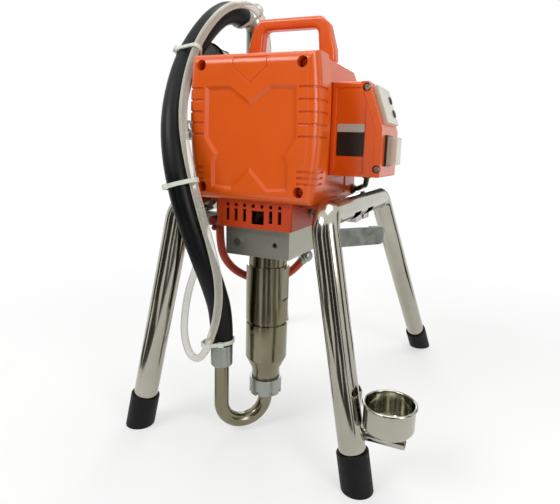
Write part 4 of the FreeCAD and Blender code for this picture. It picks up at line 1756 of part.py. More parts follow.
def cable_ties():
    """White ties that hold the drain tube to the suction hose, at lengths along the hose."""
    hose = route_wire(suction_points())[0].discretize(Distance=1.0)
    tube = route_wire(drain_points())[0].discretize(Distance=1.0)
    reach = number(S.hose_diameter) * 1.5
    ties = []
    for index, size in enumerate((S.tie_low, S.tie_middle, S.tie_high, len(hose) - 1 - S.tie_end)):
        step = int(round(number(size)))
        centre = hose[step]
        along = Vector(hose[step + 1] - hose[step - 1]).normalize()
        near = min((place for place in range(1, len(tube) - 1) if tube[place].distanceToPoint(centre) < reach),
                   key=lambda place: abs((tube[place] - centre).dot(along)))
        slant = Vector(tube[near + 1] - tube[near - 1]).getAngle(along)
        flat = tube[near] - along * (tube[near] - centre).dot(along)
        ties.append(tie_round("tie_%d" % index, centre, along, flat, min(slant, math.pi - slant)))
    node("cable_ties", group("tie_set", *ties))


def build_all():
    for side, word in ((1, "right"), (-1, "left")):
        frame(side, word)
        foot(side, True, "foot_front_" + word)
        foot(side, False, "foot_rear_" + word)
    cross_bars()
    base_bolts()
    leg_space = frame_space("leg_space", 1, S.fit_gap)
    hose_clip(leg_space)
    cup_bracket(frame_space("leg_space_low", 1, S.fit_gap))
    drip_cup()
    pump_cylinder()
    intake_housing()
    ball_on_seat("intake_ball", S.intake_ball, S.seat_hole, S.seat_bottom + S.seat_height)
    displacement_rod()
    ball_on_seat("piston_ball", S.piston_ball, S.piston_port, S.piston_bottom + S.piston_seat)
    rod_packings()
    suction_nut()
    suction_tube()
    hose_ferrule()
    free_lines()
    suction_strainer()
    bearing_block()
    lower_guard()
    machine_screws()
    base_tray()
    drive_housing()
    crankshaft()
    idler_gear()
    drive_bearings()
    connecting_rod()
    motor_shell()
    motor_rotor()
    motor_fan()
    front_cover()
    cover_screws()
    rear_housing()
    handle()
    control_box()
    control_lid()
    display_window()
    keys()
    control_board()
    switch_frame()
    switch_rocker()
    switch_boot()
    lid_screws()
    cable_glands()
    control_cable()
    filter_housing()
    gauge()
    prime_valve()
    valve_knob()
    link_hose()
    cable_ties()


def check_document():
    """Stops if any object failed or any sub-part has no sound shape."""
    doc.recompute()
    for item in doc.Objects:
        if "Invalid" in item.State or "Error" in item.State:
            raise ValueError("%s (%s) failed: %s" % (item.Name, item.Label, item.State))
    for label, piece in NODES.items():
        if piece.Shape.isNull() or not piece.Shape.isValid() or piece.Shape.Volume <= 0:
            raise ValueError("%s has no sound shape" % label)


def move_to_origin():
    """Puts the origin on the floor under the middle of the object's box, cords left out."""
    boxes = [piece.Shape.BoundBox for label, piece in NODES.items() if label not in CORD_NODES]
    middle_x = (min(box.XMin for box in boxes) + max(box.XMax for box in boxes)) / 2
    middle_y = (min(box.YMin for box in boxes) + max(box.YMax for box in boxes)) / 2
    row = len(rows) + 1
    for alias, value in (("origin_x", middle_x), ("origin_y", middle_y)):
        sheet.set("A%d" % row, alias)
        sheet.set("B%d" % row, "%.4f" % value)
        sheet.setAlias("B%d" % row, alias)
        row += 1
    doc.recompute()
    print("origin %.4f %.4f" % (middle_x, middle_y))
    for label, piece in NODES.items():
        for axis, alias in (("x", "origin_x"), ("y", "origin_y")):
            given = [text for path, text in piece.ExpressionEngine if path.endswith("Placement.Base." + axis)]
            start = "(%s)" % given[0] if given else "%r" % getattr(piece.Placement.Base, axis)
            piece.setExpression("Placement.Base." + axis, "%s - Sizes.%s" % (start, alias))
    doc.recompute()


build_all()
check_document()
move_to_origin()
check_document()
os.makedirs("parts", exist_ok=True)
for label, piece in NODES.items():
    piece.Shape.exportStep("parts/%s.step" % label)
print("%d nodes written" % len(NODES))
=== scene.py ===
import json
import math

import bmesh
import bpy
from bpy.props import FloatProperty, FloatVectorProperty, PointerProperty
from bpy.types import Operator, Panel, PropertyGroup
from mathutils import Matrix, Vector


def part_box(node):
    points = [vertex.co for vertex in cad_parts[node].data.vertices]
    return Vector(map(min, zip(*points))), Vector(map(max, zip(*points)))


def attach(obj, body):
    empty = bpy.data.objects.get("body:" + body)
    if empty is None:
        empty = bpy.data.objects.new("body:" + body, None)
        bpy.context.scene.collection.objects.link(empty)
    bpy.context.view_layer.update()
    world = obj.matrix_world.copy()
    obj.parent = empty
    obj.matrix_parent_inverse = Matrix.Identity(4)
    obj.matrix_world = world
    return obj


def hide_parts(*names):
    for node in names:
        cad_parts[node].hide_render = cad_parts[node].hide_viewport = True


bl_info = {
    "name": "Airless paint sprayer",
    "version": (1, 0, 0),
    "blender": (4, 5, 0),
    "location": "View3D > Sidebar > Sprayer",
    "description": "Dresses the packed paint sprayer and sets up its studio",
    "category": "Object",
}

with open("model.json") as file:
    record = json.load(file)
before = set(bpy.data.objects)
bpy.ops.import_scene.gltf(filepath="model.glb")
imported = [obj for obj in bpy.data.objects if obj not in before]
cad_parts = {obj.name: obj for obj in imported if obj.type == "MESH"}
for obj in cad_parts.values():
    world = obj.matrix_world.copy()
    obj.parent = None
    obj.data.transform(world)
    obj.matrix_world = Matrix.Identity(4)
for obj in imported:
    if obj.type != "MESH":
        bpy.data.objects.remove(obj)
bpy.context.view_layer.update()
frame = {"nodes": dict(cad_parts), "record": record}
NODES = frame["nodes"]
BODY_OF = {node: body for body, nodes in frame["record"]["behaviour"]["bodies"].items() for node in nodes}

# In the machine's own measure the pump's axis is at X = 0 and at this Y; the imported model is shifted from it.
PUMP_AXIS_Y = -0.120
pump_low, pump_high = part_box("pump_cylinder")
SHIFT = Vector(((pump_low[0] + pump_high[0]) / 2, (pump_low[1] + pump_high[1]) / 2 - PUMP_AXIS_Y, 0))

# Points closer than this, in metres, are one; faces that turn by less than this are one flat face.
MERGE_DISTANCE = 0.000001
FLAT_ANGLE = math.radians(0.6)
# Edges are broken where they turn by more than an angle, and shaded smooth up to a few degrees more.
SHARP_DEGREES = 34
SHADING_MARGIN = 6


def at(x, y, z):
    """A point given in metres in the machine's own measure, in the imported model's frame."""
    return Vector((x, y, z)) + SHIFT


def linear(code):
    """An sRGB hex colour as linear numbers."""
    parts = [int(code[i:i + 2], 16) / 255 for i in (1, 3, 5)]
    return tuple(p / 12.92 if p <= 0.04045 else ((p + 0.055) / 1.055) ** 2.4 for p in parts)


def colour(name, code, description):
    """A colour that can be set in the panel; the code is sRGB."""
    return FloatVectorProperty(name=name, description=description, subtype="COLOR", size=3, min=0, max=1,
                               default=linear(code))


def length(name, metres, description):
    """A length that can be set in the panel."""
    return FloatProperty(name=name, description=description, default=metres, unit="LENGTH", min=0.0001)


class SprayerColours(PropertyGroup):
    cover: colour("Cover plastic", "#E05A10", "Moulded covers, handle and control box")
    coat: colour("Powder coat", "#C03C08", "Pressed steel guard and tray")
    chrome: colour("Chrome", "#B6B4A6", "Stand tubes, cup and suction tube")
    zinc: colour("Zinc plate", "#A2A79F", "Screws, clip and fittings")
    steel: colour("Turned steel", "#8F8971", "Pump body")
    aluminium: colour("Aluminium", "#C2C1B3", "Milled block and cast parts")
    gear: colour("Gear steel", "#76777A", "Gears and shafts")
    rubber: colour("Black rubber", "#080B09", "Feet and hose")
    scuff: colour("Scuffed rubber", "#171B18", "Worn places on the feet")
    dust: colour("Dusty rubber", "#111512", "Dusty places on the hose")
    plastic: colour("Black plastic", "#1A1B1C", "Switch, keys and glands")
    worn: colour("Worn plastic", "#2A2B2E", "High spots of the black plastic's texture")
    clear: colour("Clear tube", "#DEDBCD", "Drain tube")
    window: colour("Clear covers", "#DCD5C2", "Display window and switch boot")
    glass: colour("Gauge glass", "#EDF1EE", "Glass over the dial")
    tie: colour("Nylon ties", "#D3D9CB", "Cable ties")
    link: colour("Orange hose", "#C23C18", "Hose from the pump to the filter")
    red: colour("Red plastic", "#8E1A12", "Valve knob and rocker mark")
    paper: colour("Label white", "#B9B8AA", "Upper band of the blank label")
    ink: colour("Label black", "#24241F", "Lower field of the blank label")
    dial: colour("Dial enamel", "#E4E4DE", "Gauge dial")
    board: colour("Circuit board", "#1E5A34", "Control board")
    leather: colour("Packing leather", "#8A6B43", "Rod packings")
    floor: colour("Floor", "#F2F2F0", "Studio floor")
    felt: colour("Flag felt", "#262320", "Dark parts of the studio flags")
    felt_light: colour("Light felt", "#45413A", "Lighter parts of the studio flags")


class SprayerSizes(PropertyGroup):
    suction_hose: length("Suction hose", 0.026, "Outside diameter")
    drain_tube: length("Drain tube", 0.009, "Outside diameter")
    link_hose: length("Link hose", 0.010, "Outside diameter")
    lead: length("Control lead", 0.0065, "Outside diameter")
    handle_edge: length("Handle edge", 0.0026, "Radius of the handle's edges, which a hand closes round")
    moulded_edge: length("Moulded edge", 0.0009, "Radius of the front cover's edges")
    housing_edge: length("Housing edge", 0.00063, "Radius of the rear housing's edges")
    rubber_edge: length("Rubber edge", 0.0008, "Radius of the feet's edges")
    box_edge: length("Box edge", 0.0006, "Radius of the control box's and the milled block's edges")
    heavy_edge: length("Heavy edge", 0.0005, "Radius of the turned, cast and pressed parts' edges")
    metal_edge: length("Metal edge", 0.0004, "Radius of the bars' and fittings' edges")
    fine_edge: length("Fine edge", 0.0003, "Radius of the sheet parts' and screws' edges")
    thin_edge: length("Thin edge", 0.0002, "Radius of the smallest screws' and the ties' edges")
    field_slope: length("Field slope", 0.0032, "Width of the sloped wall round the cover's sunk field")
    field_sink: length("Field sink", 0.0008, "Depth added to the cover's sunk field")
    thread_pitch: length("Thread pitch", 0.0015, "Pitch of the outlet's thread")


# Materials. Patterns read Object coordinates, which are metres here.
def add(tree, kind, inputs=(), **settings):
    """Adds a node with its settings; inputs gives sockets a value or the socket that feeds them."""
    node = tree.nodes.new(kind)
    for name, value in settings.items():
        setattr(node, name, value)
    for socket, value in dict(inputs).items():
        if isinstance(value, bpy.types.NodeSocket):
            tree.links.new(value, node.inputs[socket])
        else:
            node.inputs[socket].default_value = value
    return node


def finish(name, hue, metallic=0.0, roughness=0.5, **sockets):
    """A new material with its surface shader; returns material, tree, shader and object coordinates."""
    material = bpy.data.materials.new(name)
    material.use_nodes = True
    tree = material.node_tree
    shader = tree.nodes["Principled BSDF"]
    shader.inputs["Base Color"].default_value = (*hue, 1)
    shader.inputs["Metallic"].default_value = metallic
    shader.inputs["Roughness"].default_value = roughness
    for socket, value in sockets.items():
        shader.inputs[socket.replace("_", " ")].default_value = value
    coords = add(tree, "ShaderNodeTexCoord")
    return material, tree, shader, coords.outputs["Object"]


def grain(tree, coords, millimetres, detail=3.0, stretch=(1, 1, 1)):
    """Noise with grains of a real size; a stretch packs them closer along an axis, or draws them out."""
    mapping = add(tree, "ShaderNodeMapping", {"Vector": coords, "Scale": stretch})
    return add(tree, "ShaderNodeTexNoise", {"Vector": mapping.outputs["Vector"], "Scale": 1000 / millimetres,
                                            "Detail": detail}).outputs["Fac"]


def mottle(tree, shader, pattern, dark, light, start=0.0, end=1.0):
    """Colours the surface from dark to light as a pattern goes from start to end."""
    share = add(tree, "ShaderNodeMapRange", {"Value": pattern, "From Min": start, "From Max": end})
    mix = add(tree, "ShaderNodeMix", {0: share.outputs["Result"], 6: (*dark, 1), 7: (*light, 1)},
              data_type="RGBA")
    tree.links.new(mix.outputs[2], shader.inputs["Base Color"])


def vary(tree, shader, socket, pattern, low, high, start=0.3, end=0.7):
    """Lets one of the surface's numbers go from low to high as a pattern goes from start to end."""
    change = add(tree, "ShaderNodeMapRange", {"Value": pattern, "From Min": start, "From Max": end,
                                              "To Min": low, "To Max": high})
    tree.links.new(change.outputs["Result"], shader.inputs[socket])


def relief(tree, shader, height, millimetres):
    """Raises the surface by a pattern, by a real height at most."""
    bump = add(tree, "ShaderNodeBump", {"Height": height, "Strength": 1.0, "Distance": millimetres / 1000})
    tree.links.new(bump.outputs["Normal"], shader.inputs["Normal"])


def shaded(hue, share):
    """A darker colour, or a brighter one where the share is over one."""
    return tuple(channel * share for channel in hue)


def see_through(tree, shader, middle, rim):
    """Clear plastic: more is seen through the middle of it than through its edges."""
    facing = add(tree, "ShaderNodeLayerWeight", {"Blend": 0.4}).outputs["Facing"]
    vary(tree, shader, "Alpha", facing, middle, rim, start=0.15, end=0.8)


def chrome_plate(colours):
    """Bright chrome on drawn tube: sharp reflections with faint drawing lines and finger haze."""
    material, tree, shader, coords = finish("bright_chrome_plate", colours.chrome, 1.0, 0.08)
    haze = grain(tree, coords, 71.43, 4)
    vary(tree, shader, "Roughness", haze, 0.08, 0.2)
    mottle(tree, shader, haze, shaded(colours.chrome, 0.78), colours.chrome, start=0.3, end=0.7)
    relief(tree, shader, grain(tree, coords, 3.846, 2, stretch=(1, 1, 0.04)), 0.02)
    return material


def zinc_plate(colours):
    """Clear zinc on pressed or turned steel: duller than chrome, a little cloudy."""
    material, tree, shader, coords = finish("clear_zinc_plate", colours.zinc, 1.0, 0.28)
    cloud = grain(tree, coords, 11.11, 5)
    vary(tree, shader, "Roughness", cloud, 0.26, 0.4)
    mottle(tree, shader, cloud, shaded(colours.zinc, 0.84), colours.zinc)
    relief(tree, shader, grain(tree, coords, 0.7143, 2), 0.01)
    return material


def turned_steel(colours):
    """Stainless bar turned on a lathe about the pump's axis: fine rings, satin, oil-stained in places."""
    material, tree, shader, coords = finish("turned_stainless", colours.steel, 1.0, 0.2)
    rings = grain(tree, coords, 16.667, 3, stretch=(0.02, 0.02, 30))
    stains = grain(tree, coords, 38.46, 4, stretch=(1, 1, 0.5))
    vary(tree, shader, "Roughness", rings, 0.13, 0.26)
    mottle(tree, shader, stains, shaded(colours.steel, 0.68), colours.steel, start=0.3, end=0.7)
    relief(tree, shader, rings, 0.02)
    return material


def milled_aluminium(colours):
    """Milled block: straight cutter lines across its faces, drawn coarse enough to show, satin."""
    material, tree, shader, coords = finish("milled_aluminium", colours.aluminium, 1.0, 0.3)
    lines = grain(tree, coords, 20, 3, stretch=(0.15, 0.15, 14))
    vary(tree, shader, "Roughness", lines, 0.36, 0.46)
    mottle(tree, shader, grain(tree, coords, 40, 4), shaded(colours.aluminium, 0.86), colours.aluminium)
    relief(tree, shader, lines, 0.006)
    return material


def cast_aluminium(colours):
    """Die-cast parts: a fine pebbled skin."""
    material, tree, shader, coords = finish("die_cast_aluminium", shaded(colours.aluminium, 0.8), 1.0, 0.45)
    skin = grain(tree, coords, 1.4286, 3)
    vary(tree, shader, "Roughness", skin, 0.38, 0.55)
    mottle(tree, shader, grain(tree, coords, 16.667, 4), shaded(colours.aluminium, 0.62),
           shaded(colours.aluminium, 0.85))
    relief(tree, shader, skin, 0.06)
    return material


def gear_steel(colours):
    """Oiled machined steel of gears and shafts."""
    material, tree, shader, coords = finish("oiled_machined_steel", colours.gear, 1.0, 0.3)
    film = grain(tree, coords, 8.333, 4)
    vary(tree, shader, "Roughness", film, 0.2, 0.42)
    mottle(tree, shader, film, shaded(colours.gear, 0.7), colours.gear)
    return material


def cover_plastic(colours):
    """Injection-moulded ABS: glossy, with a faint flow unevenness and wide, shallow sink marks."""
    material, tree, shader, coords = finish("glossy_abs", colours.cover, 0.0, 0.25, IOR=1.53)
    flow = grain(tree, coords, 111.1, 3)
    mottle(tree, shader, flow, shaded(colours.cover, 0.88), colours.cover, start=0.3, end=0.7)
    vary(tree, shader, "Roughness", grain(tree, coords, 25, 2), 0.21, 0.26)
    relief(tree, shader, grain(tree, coords, 33.33, 1), 0.04)
    return material


def powder_coat(colours):
    """Powder coat on pressed steel: orange-peel skin, half gloss."""
    material, tree, shader, coords = finish("orange_powder_coat", colours.coat, 0.0, 0.36, IOR=1.5)
    peel = grain(tree, coords, 2.381, 3)
    mottle(tree, shader, peel, shaded(colours.coat, 0.86), colours.coat)
    relief(tree, shader, peel, 0.05)
    return material


def moulded_rubber(colours):
    """Moulded rubber feet: matt, with scuffs that catch the light."""
    material, tree, shader, coords = finish("moulded_rubber", colours.rubber, 0.0, 0.55, IOR=1.52,
                                            Specular_IOR_Level=0.18)
    scuff = grain(tree, coords, 6.25, 5)
    mottle(tree, shader, scuff, colours.rubber, colours.scuff, start=0.45, end=0.8)
    vary(tree, shader, "Roughness", scuff, 0.42, 0.66)
    relief(tree, shader, grain(tree, coords, 0.6667, 2), 0.04)
    return material


def hose_rubber(colours):
    """Smooth extruded rubber hose: soft sheen, dusty in places, fine lines from the die."""
    material, tree, shader, coords = finish("extruded_hose_rubber", colours.rubber, 0.0, 0.38, IOR=1.52,
                                            Specular_IOR_Level=0.18)
    dust = grain(tree, coords, 41.67, 5)
    mottle(tree, shader, dust, colours.rubber, colours.dust, start=0.4, end=0.75)
    vary(tree, shader, "Roughness", dust, 0.3, 0.5)
    relief(tree, shader, grain(tree, coords, 2, 3, stretch=(1, 1, 0.12)), 0.05)
    return material


def clear_vinyl(colours):
    """Extruded clear PVC tube: creamy, and more solid where the wall is seen end on."""
    material, tree, shader, coords = finish("clear_pvc_tube", colours.clear, 0.0, 0.16, IOR=1.53)
    milk = grain(tree, coords, 83.33, 2)
    mottle(tree, shader, milk, shaded(colours.clear, 0.85), colours.clear)
    vary(tree, shader, "Roughness", milk, 0.12, 0.24)
    see_through(tree, shader, 0.34, 0.95)
    return material


def clear_cover(colours):
    """Moulded polycarbonate of the display cover, slightly yellowed and hazed by wiping."""
    material, tree, shader, coords = finish("clear_polycarbonate", colours.window, 0.0, 0.18, IOR=1.58)
    vary(tree, shader, "Roughness", grain(tree, coords, 16.667, 3), 0.12, 0.26)
    see_through(tree, shader, 0.62, 0.95)
    return material


def gauge_glass(colours):
    """Cut sheet glass of the gauge: clean, seen mostly by its reflections."""
    material, tree, shader, coords = finish("sheet_glass", colours.glass, 0.0, 0.04, IOR=1.52)
    vary(tree, shader, "Roughness", grain(tree, coords, 25, 2), 0.03, 0.08)
    see_through(tree, shader, 0.08, 0.6)
    return material


def soft_boot(colours):
    """Moulded clear silicone boot over the rocker: soft, a little cloudy."""
    material, tree, shader, coords = finish("clear_silicone", colours.window, 0.0, 0.2, IOR=1.43)
    vary(tree, shader, "Roughness", grain(tree, coords, 12.5, 3), 0.12, 0.3)
    see_through(tree, shader, 0.4, 0.92)
    return material


def black_plastic(colours):
    """Moulded nylon, finely spark-textured."""
    material, tree, shader, coords = finish("black_nylon", colours.plastic, 0.0, 0.4, IOR=1.53)
    spark = grain(tree, coords, 0.6667, 2)
    mottle(tree, shader, spark, colours.plastic, colours.worn)
    relief(tree, shader, spark, 0.03)
    return material


def nylon_tie(colours):
    """Natural nylon of the cable ties: milky, with moulded cross teeth about 1 mm apart."""
    material, tree, shader, coords = finish("natural_nylon", colours.tie, 0.0, 0.4, IOR=1.53,
                                            Subsurface_Weight=0.15, Subsurface_Scale=0.002)
    # At scale 1 the texture's bands are 0.1 pi metres apart.
    tooth_pitch = 0.0009817
    teeth = add(tree, "ShaderNodeTexWave", {"Vector": coords, "Scale": 0.1 * math.pi / tooth_pitch},
                bands_direction="X")
    mottle(tree, shader, grain(tree, coords, 11.11, 2), shaded(colours.tie, 0.85), colours.tie)
    relief(tree, shader, teeth.outputs["Fac"], 0.1)
    return material


def link_rubber(colours):
    """Extruded orange-red polyurethane cover of the high-pressure hose."""
    material, tree, shader, coords = finish("orange_hose_cover", colours.link, 0.0, 0.3, IOR=1.5)
    skin = grain(tree, coords, 3.333, 3)
    mottle(tree, shader, skin, shaded(colours.link, 0.85), colours.link)
    relief(tree, shader, skin, 0.04)
    return material


def red_plastic(colours):
    """Deep red moulded ABS of the knob, with faint flow marks."""
    material, tree, shader, coords = finish("red_abs", colours.red, 0.0, 0.3, IOR=1.53)
    mottle(tree, shader, grain(tree, coords, 12.5, 3), shaded(colours.red, 0.8), colours.red)
    return material


def printed_paper(name, hue):
    """Coated label paper under a thin clear film."""
    material, tree, shader, coords = finish(name, hue, 0.0, 0.32, IOR=1.5)
    mottle(tree, shader, grain(tree, coords, 2, 4), shaded(hue, 0.86), hue)
    relief(tree, shader, grain(tree, coords, 8.333, 3), 0.04)
    return material


def label_white(colours):
    return printed_paper("label_paper_white", colours.paper)


def label_black(colours):
    return printed_paper("label_paper_black", colours.ink)


def dial_enamel(colours):
    """White stoved enamel on the gauge's dial."""
    material, tree, shader, coords = finish("stoved_enamel", colours.dial, 0.0, 0.35, IOR=1.5)
    mottle(tree, shader, grain(tree, coords, 5, 3), shaded(colours.dial, 0.94), colours.dial)
    return material


def circuit_board(colours):
    """Green solder mask over copper tracks, about 6 mm from one to the next."""
    track_pitch = 0.00625
    material, tree, shader, coords = finish("solder_mask", colours.board, 0.0, 0.3, IOR=1.55)
    tracks = add(tree, "ShaderNodeTexBrick", {"Vector": coords, "Scale": 1 / track_pitch,
                                              "Mortar Size": 0.02}).outputs["Fac"]
    mottle(tree, shader, tracks, colours.board, shaded(colours.board, 1.6))
    return material


def packing_leather(colours):
    """Oil-soaked leather packings: fibres about 2.5 mm long, drawn a little coarse to show."""
    material, tree, shader, coords = finish("packing_leather", colours.leather, 0.0, 0.6)
    fibre = grain(tree, coords, 2.5, 4)
    mottle(tree, shader, fibre, shaded(colours.leather, 0.7), colours.leather)
    relief(tree, shader, fibre, 0.1)
    return material


FINISHES = {
    "chrome": chrome_plate, "zinc": zinc_plate, "steel": turned_steel, "milled": milled_aluminium,
    "cast": cast_aluminium, "gear": gear_steel, "cover": cover_plastic, "coat": powder_coat,
    "rubber": moulded_rubber, "hose": hose_rubber, "vinyl": clear_vinyl, "window": clear_cover,
    "glass": gauge_glass, "boot": soft_boot, "plastic": black_plastic, "tie": nylon_tie, "link": link_rubber,
    "red": red_plastic, "white": label_white, "black": label_black, "dial": dial_enamel,
    "board": circuit_board, "leather": packing_leather,
}
made_finishes = {}


def material_for(name):
    """The material of a finish; it is made the first time that it is asked for."""
    if name not in made_finishes:
        made_finishes[name] = FINISHES[name](bpy.context.scene.sprayer_colours)
    return made_finishes[name]


# Pieces.
def show(piece, body, *replaced):
    """Links a finished piece to the scene and lets it ride on its body."""
    if piece.name not in bpy.context.scene.collection.all_objects:
        bpy.context.scene.collection.objects.link(piece)
    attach(piece, body)
    if replaced:
        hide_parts(*replaced)
    return piece


def paint(node, finish_name):
    """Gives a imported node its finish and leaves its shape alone."""
    piece = NODES[node]
    if not piece.material_slots:
        piece.data.materials.append(material_for(finish_name))
    for slot in piece.material_slots:
        slot.material = material_for(finish_name)


def sharp_edges(bm, degrees):
    """The edges between two faces that turn by more than the angle."""
    limit = math.radians(degrees)
    return [edge for edge in bm.edges if len(edge.link_faces) == 2 and edge.calc_face_angle() > limit]


def smooth_faces(bm, degrees):
    """Smooth shading with sharp lines kept where faces turn by more than the angle."""
    for face in bm.faces:
        face.smooth = True
    for edge in bm.edges:
        edge.smooth = len(edge.link_faces) == 2 and edge.calc_face_angle() < math.radians(degrees)


def chains(edges):
    """The edges in groups that touch, so that a tight spot limits its own group's bevel alone."""
    left = dict.fromkeys(edges)
    while left:
        group, reached = [], [left.popitem()[0]]
        while reached:
            edge = reached.pop()
            group.append(edge)
            for other in (near for vert in edge.verts for near in vert.link_edges):
                if other in left:
                    del left[other]
                    reached.append(other)
        yield group


def break_edges(bm, edges, radius):
    """Rounds edges, with a smaller radius where there is no room for it."""
    bmesh.ops.bevel(bm, geom=edges, offset=radius, offset_type="OFFSET", affect="EDGES", segments=2,
                    profile=0.5, material=-1, clamp_overlap=True)


def merged_copy(node):
    """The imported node's mesh with its doubles merged and its flat faces joined."""
    bm = bmesh.new()
    bm.from_mesh(NODES[node].data)
    bmesh.ops.remove_doubles(bm, verts=bm.verts, dist=MERGE_DISTANCE)
    bmesh.ops.dissolve_limit(bm, angle_limit=FLAT_ANGLE, verts=bm.verts, edges=bm.edges)
    return bm


def piece_of(bm, name, degrees, *finish_names):
    """An object at the origin from a bmesh, smooth except at its sharp lines."""
    smooth_faces(bm, degrees)
    mesh = bpy.data.meshes.new(name)
    bm.to_mesh(mesh)
    bm.free()
    for finish_name in finish_names:
        mesh.materials.append(material_for(finish_name))
    piece = bpy.data.objects.new(name, mesh)
    weights = piece.modifiers.new("Face normals", "WEIGHTED_NORMAL")
    weights.keep_sharp = True
    return piece


def dress(node, finish_name, edge=0.0, degrees=SHARP_DEGREES, shape=None):
    """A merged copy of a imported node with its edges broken, standing for the node."""
    bm = merged_copy(node)
    if shape:
        shape(bm)
    if edge:
        for group in list(chains(sharp_edges(bm, degrees))):
            break_edges(bm, group, edge)
    return show(piece_of(bm, node + "_dressed", degrees + SHADING_MARGIN, finish_name), BODY_OF[node], node)


# Cords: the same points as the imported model's routes, in metres.
SUCTION_ROUTE = [
    (-0.038, -0.160, 0.114), (-0.038, -0.160, 0.148), (-0.040, -0.174, 0.186), (-0.048, -0.187, 0.226),
    (-0.059, -0.196, 0.268), (-0.072, -0.195, 0.312), (-0.087, -0.181, 0.354), (-0.098, -0.157, 0.396),
    (-0.101, -0.132, 0.436), (-0.095, -0.106, 0.470), (-0.089, -0.084, 0.491), (-0.085, -0.062, 0.500),
    (-0.0835, -0.040, 0.500),
]
DRAIN_ROUTE = [
    (-0.088, -0.120, 0.240), (-0.088, -0.120, 0.218), (-0.092, -0.131, 0.194), (-0.097, -0.141, 0.166),
    (-0.099, -0.147, 0.136), (-0.096, -0.153, 0.110), (-0.084, -0.159, 0.090), (-0.067, -0.165, 0.090),
    (-0.052, -0.173, 0.106), (-0.040, -0.180, 0.128), (-0.029, -0.184, 0.156), (-0.024, -0.188, 0.192),
    (-0.029, -0.193, 0.230), (-0.041, -0.197, 0.272), (-0.054, -0.197, 0.316), (-0.071, -0.186, 0.362),
    (-0.0825, -0.162, 0.406), (-0.084, -0.137, 0.450), (-0.078, -0.110, 0.483), (-0.0715, -0.087, 0.500),
    (-0.0655, -0.066, 0.507), (-0.060, -0.048, 0.5055), (-0.057, -0.034, 0.497), (-0.058, -0.019, 0.481),
    (-0.064, -0.001, 0.461), (-0.0735, 0.014, 0.437), (-0.077, 0.019, 0.404), (-0.076, 0.019, 0.368),
    (-0.074, 0.019, 0.334),
]
LINK_ROUTE = [
    (-0.0655, -0.120, 0.246), (-0.0655, -0.120, 0.219), (-0.060, -0.110, 0.196), (-0.047, -0.097, 0.181),
    (-0.027, -0.086, 0.175), (-0.006, -0.079, 0.178), (0.013, -0.078, 0.1885), (0.02546, -0.078, 0.20441),
]
LEAD_ROUTE = [
    (0.088, -0.030, 0.310), (0.088, -0.030, 0.304), (0.085, -0.022, 0.298), (0.080, -0.006, 0.296),
    (0.074, 0.003, 0.294), (0.067, 0.006, 0.290), (0.059, 0.006, 0.290),
]


def line_of(name, points, diameter, finish_name):
    """A smooth line through the room of a route, as thick as the real hose."""
    curve = bpy.data.curves.new(name, "CURVE")
    curve.dimensions = "3D"
    spline = curve.splines.new("NURBS")
    spline.points.add(len(points) - 1)
    for target, place in zip(spline.points, points):
        target.co = (*at(*place), 1)
    spline.order_u = 3
    spline.use_endpoint_u = True
    spline.resolution_u = 10
    curve.bevel_depth = diameter / 2
    curve.bevel_resolution = 8
    curve.use_fill_caps = True
    curve.materials.append(material_for(finish_name))
    return bpy.data.objects.new(name, curve)


